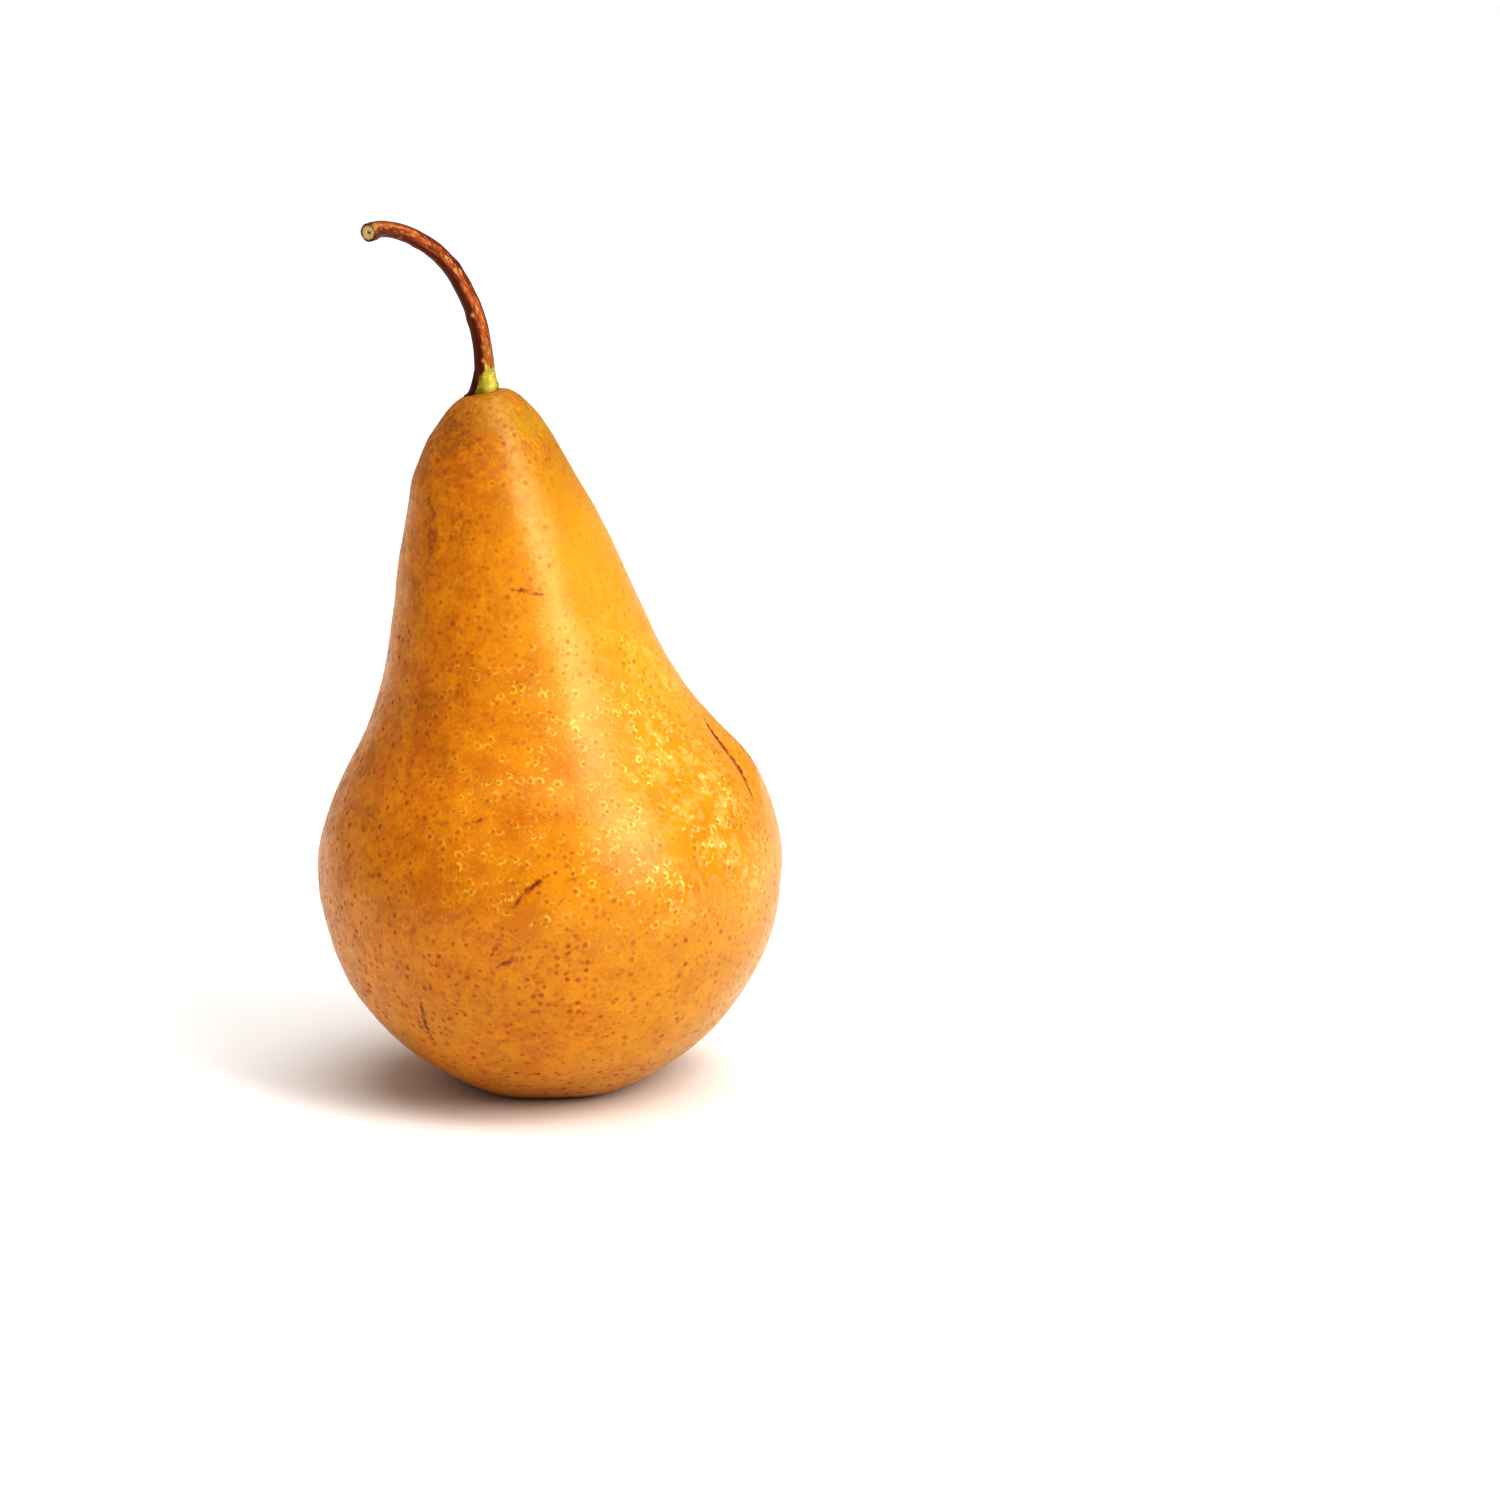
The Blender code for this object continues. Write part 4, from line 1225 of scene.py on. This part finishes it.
def glossy_bark():
    """Bark of a pear's stem: streaked along the stem, glossy, painted darker on its shaded side and lighter
    on its lit side, with the green collar below it, painted yellower where lit.
    """
    material, add = new_material("Pear stem bark")
    straight = add("Attribute", attribute_name="bark_place").outputs["Vector"]
    below = add("Attribute", attribute_name="below_bark").outputs["Fac"]
    # The stem's painted light and shade, by side.
    side = add("Attribute", attribute_name="painted_side_light").outputs["Fac"]
    streak, patch, speckle, flake, blotch = bark_patterns(add, straight)
    bark = bark_colour(add, straight, below, side, streak, patch, flake)
    # The collar is painted yellower on its lit side and more olive on its shaded side.
    blotch = add("Math", {0: side, 1: COLLAR_BY_PAINTED_LIGHT, 2: blotch}, operation="MULTIPLY_ADD")
    tone = add("MapRange", span(blotch, *COLLAR_TONE))
    collar = add("Mix", {"Factor": tone, "A": linear(COLLAR_OLIVE), "B": linear(COLLAR_YELLOW)}, **RGBA)
    ragged = add("MapRange", span(speckle, *NOISE_RANGE, *BARK_RAGGED))
    ragged = add("Math", {0: ragged, 1: below}, operation="ADD")
    bare = add("MapRange", span(ragged, *BARK_FADE), **SMOOTH)
    height = add("MapRange", span(streak, *NOISE_RANGE, *STREAK_HEIGHTS))
    height = add("Math", {0: bare, 1: -BARK_THICKNESS, 2: height}, operation="MULTIPLY_ADD")
    shader = add("BsdfPrincipled", {
        "Base Color": add("Mix", {"Factor": bare, "A": bark, "B": collar}, **RGBA),
        "Roughness": add("MapRange", span(side, 0.0, 1.0, *BARK_ROUGHNESS)),
        "Normal": add("Bump", {"Height": height, "Distance": MM, "Strength": 1.0}),
        "IOR": 1.5, "Specular IOR Level": 0.38, "Specular Tint": linear(BARK_TINT),
    })
    add("OutputMaterial", {"Surface": shader})
    print(material.name, "has", len(material.node_tree.nodes), "nodes")
    return material


# %% Cut wood material
WOOD_PALE = "#E4CC90"
WOOD_RING = "#A07A3C"
WOOD_RIM = "#5A3A1C"
PITH_DARK = "#4A3A14"
WOOD_GRAIN = 0.25
RING_WANDER = (-0.22, 0.22)
RING_DEPTHS = (0.0, 0.8)
RIM_EDGE = (0.9, 1.12)
PITH_EDGE = (0.3, 0.16)


def cut_pear_wood():
    """The snapped end: pale dry wood in rings round a dark pith, matte."""
    material, add = new_material("Cut pear wood")
    grain = add("TexNoise", {"Vector": read_place(add), "Scale": 1 / WOOD_GRAIN, "Detail": 3.0})
    wander = add("MapRange", span(grain, *NOISE_RANGE, *RING_WANDER))
    radius = add("Attribute", attribute_name="cut_radius").outputs["Fac"]
    radius = add("Math", {0: radius, 1: wander}, operation="ADD")
    wave = add("Math", {0: radius, 1: YEAR_RING_RATE}, operation="MULTIPLY")
    wave = add("Math", {0: wave}, operation="COSINE")
    ring = add("MapRange", span(wave, -1.0, 1.0, *RING_DEPTHS))
    rim, pith = (add("MapRange", span(radius, *edge), **SMOOTH) for edge in (RIM_EDGE, PITH_EDGE))
    colour = linear(WOOD_PALE)
    for share, over in ((ring, WOOD_RING), (rim, WOOD_RIM), (pith, PITH_DARK)):
        colour = add("Mix", {"Factor": share, "A": colour, "B": linear(over)}, **RGBA)
    bump = add("Bump", {"Height": grain, "Distance": 0.06 * MM, "Strength": 1.0})
    shader = add("BsdfPrincipled", {"Base Color": colour, "Roughness": 0.75, "Normal": bump})
    add("OutputMaterial", {"Surface": shader})
    return material


# %% Stem piece
stem = close_grid("pear_stem", stem_points, glossy_bark(), cut_pear_wood(), end_rings=CUT_RINGS + 2)
for name, values in stem_attributes().items():
    paint(stem, name, values)
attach(stem, "root")
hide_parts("stem")


# %% [markdown]
# ## The dried calyx
# Underneath, in the basin, sits what is left of the flower: a small woody cup with five curled
# sepals, and inside it the wiry remains of stamens and styles. It is nearly black, dry and
# wrinkled. The cup and its sepals are one grid whose length changes with the turn, long at a
# sepal's tip and short at the notch between two. The threads are thin tapered tubes.

# %% Sizes of the calyx
CALYX_RADIUS = 3.0
CALYX_TOP = 8.7
CALYX_SHOULDER = 7.3
CUP_FLOOR_RINGS = ((0.5, 7.15), (0.9, 7.1), (1.4, 7.0), (1.8, 6.9))
THROAT_RADIUS = 2.7
THROAT_HEIGHT = 6.4
SEPALS = 5
SEPAL_COLUMNS = 36
SEPAL_RINGS = 26
SEPAL_LENGTH = 4.8
SEPAL_POINT = 0.8
NOTCH_LENGTH = 1.2
SEPAL_THICKNESS = 0.65
SEPAL_SPREAD = math.radians(46.0)
SEPAL_CURL = math.radians(-26.0)
SEPAL_WARP = math.radians(9.0)
WRINKLES = ((1.1, 0.16), (0.45, 0.07))


# %% Cup and sepals
def calyx_ring(turns, share, thickness):
    """A ring of the calyx's wall, which bends as an arc from its throat to a sepal's rim."""
    across = np.abs((turns * SEPALS / math.tau) % 1.0 - 0.5) * 2.0
    length = NOTCH_LENGTH + (SEPAL_LENGTH - NOTCH_LENGTH) * (1.0 - across) ** SEPAL_POINT
    start = SEPAL_SPREAD + SEPAL_WARP * np.sin(2 * turns + 0.6)
    bend = SEPAL_CURL - SEPAL_SPREAD
    angle = start + bend * share
    out = length * (np.cos(start) - np.cos(angle)) / bend
    drop = length * (np.sin(angle) - np.sin(start)) / bend
    rolled = 0.5 * thickness * share ** 2
    reach = THROAT_RADIUS + out - (thickness - rolled) * np.cos(angle)
    height = THROAT_HEIGHT - drop - (thickness - rolled) * np.sin(angle)
    return np.stack((reach * np.cos(turns), reach * np.sin(turns), height), axis=-1)


def level_ring(turns, radius, height):
    """A level ring round the upright axis."""
    return np.stack((radius * np.cos(turns), radius * np.sin(turns), np.full(len(turns), height)), axis=-1)


def calyx_grid():
    """Cup floor, inner faces of the sepals, their rims, outer faces, and the part that is grown in."""
    turns = math.tau * np.arange(SEPALS * SEPAL_COLUMNS) / (SEPALS * SEPAL_COLUMNS)
    shares = np.linspace(0.0, 1.0, SEPAL_RINGS)
    rings = [level_ring(turns, radius, height) for radius, height in CUP_FLOOR_RINGS]
    rings += [calyx_ring(turns, share, SEPAL_THICKNESS) for share in shares]
    rings += [calyx_ring(turns, share, 0.0) for share in shares[::-1]]
    rings += [level_ring(turns, CALYX_RADIUS, height) for height in (CALYX_SHOULDER, CALYX_TOP)]
    grid = np.stack(rings)
    depth = sum(height * noise_at(grid, size, start=size) for size, height in WRINKLES)
    free = np.ones(len(grid))
    free[[0, 1, -1, -2]] = 0.0
    return grid + surface_normals(grid) * (depth * free[:, None])[..., None]


# %% Stamens and styles
THREADS = 17
THREAD_RADIUS = 0.11
THREAD_SIDES = 7
THREAD_STEPS = 12
THREAD_ROOT_HEIGHT = 7.3
THREAD_TURN = 2.4
THREAD_CURL = 1.4
THREAD_LENGTHS = (2.0, 4.0)
THREAD_LEANS = (0.25, 0.9)


def thread_points(number):
    """Rings of one thread that leaves the cup's floor and bends as it dries."""
    angle = number * THREAD_TURN + draw.uniform(-0.3, 0.3)
    root = 0.35 + 1.5 * math.sqrt(number / THREADS)
    lean = draw.uniform(*THREAD_LEANS)
    curl = draw.uniform(-THREAD_CURL, THREAD_CURL)
    length = draw.uniform(*THREAD_LENGTHS)
    share = np.linspace(0.0, 1.0, THREAD_STEPS)
    heading = angle + curl * share
    slope = lean * (1.0 - 0.9 * share)
    flat = np.sin(slope)
    steps = np.stack((flat * np.cos(heading), flat * np.sin(heading), -np.cos(slope)), axis=-1)
    line = np.array((root * math.cos(angle), root * math.sin(angle), THREAD_ROOT_HEIGHT))
    line = line + np.cumsum(steps, axis=0) * length / THREAD_STEPS
    thick = THREAD_RADIUS * (1.0 - 0.45 * share)
    thick[-2:] = THREAD_RADIUS * np.array((1.5, 0.9))
    round_turns = math.tau * np.arange(THREAD_SIDES) / THREAD_SIDES
    ring = np.stack((np.cos(round_turns), -np.sin(round_turns), np.zeros(THREAD_SIDES)), axis=-1)
    return line[:, None] + thick[:, None, None] * ring


# %% Dried calyx material
CALYX_DARK = "#3E2614"
CALYX_BROWN = "#8A5E36"
CALYX_OCHRE = "#BE9256"
WRINKLE_WIDTH = 0.45
WRINKLE_EDGE = (0.45, 0.68)
OCHRE_WIDTH = 1.8
OCHRE_PATCH = (0.54, 0.66, 0.0, 0.6)


def dried_calyx():
    """Dried sepals: shrivelled leaf, almost black, brown on its raised wrinkles, matte."""
    material, add = new_material("Dried calyx")
    place = read_place(add)
    wrinkle = {"Vector": place, "Scale": 1 / WRINKLE_WIDTH, "Detail": 4.0, "Roughness": 0.65}
    wrinkle = add("TexNoise", wrinkle)
    patch = add("TexNoise", {"Vector": place, "Scale": 1 / OCHRE_WIDTH, "Detail": 2.0})
    raised = add("MapRange", span(wrinkle, *WRINKLE_EDGE))
    ochre = add("MapRange", span(patch, *OCHRE_PATCH))
    colour = linear(CALYX_DARK)
    for share, over in ((raised, CALYX_BROWN), (ochre, CALYX_OCHRE)):
        colour = add("Mix", {"Factor": share, "A": colour, "B": linear(over)}, **RGBA)
    bump = add("Bump", {"Height": wrinkle, "Distance": 0.2 * MM, "Strength": 1.0})
    shader = add("BsdfPrincipled", {"Base Color": colour, "Roughness": 0.85, "Normal": bump})
    add("OutputMaterial", {"Surface": shader})
    return material


# %% Calyx piece
def join_into(piece, others):
    """Join pieces into one object, with its name and its finish."""
    bpy.ops.object.select_all(action="DESELECT")
    for other in (piece, *others):
        other.select_set(True)
    bpy.context.view_layer.objects.active = piece
    bpy.ops.object.join()
    print(piece.name, "now has", len(piece.data.polygons), "faces")


def place_map(piece, corner, size):
    """Shrink a piece's map into its own rectangle, so that pieces can share one map."""
    layer = piece.data.uv_layers["OFBake"].data
    places = np.empty(2 * len(layer))
    layer.foreach_get("uv", places)
    layer.foreach_set("uv", (places.reshape(-1, 2) * size + corner).ravel())


calyx_finish = dried_calyx()
calyx = close_grid("pear_calyx", calyx_grid(), calyx_finish)
place_map(calyx, (0.0, 0.0), (1.0, 0.78))
threads = []
for number in range(THREADS):
    thread = close_grid("calyx_thread", thread_points(number), calyx_finish)
    place_map(thread, (number / THREADS, 0.8), (0.9 / THREADS, 0.2))
    threads.append(thread)
join_into(calyx, threads)
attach(calyx, "root")
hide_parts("calyx")
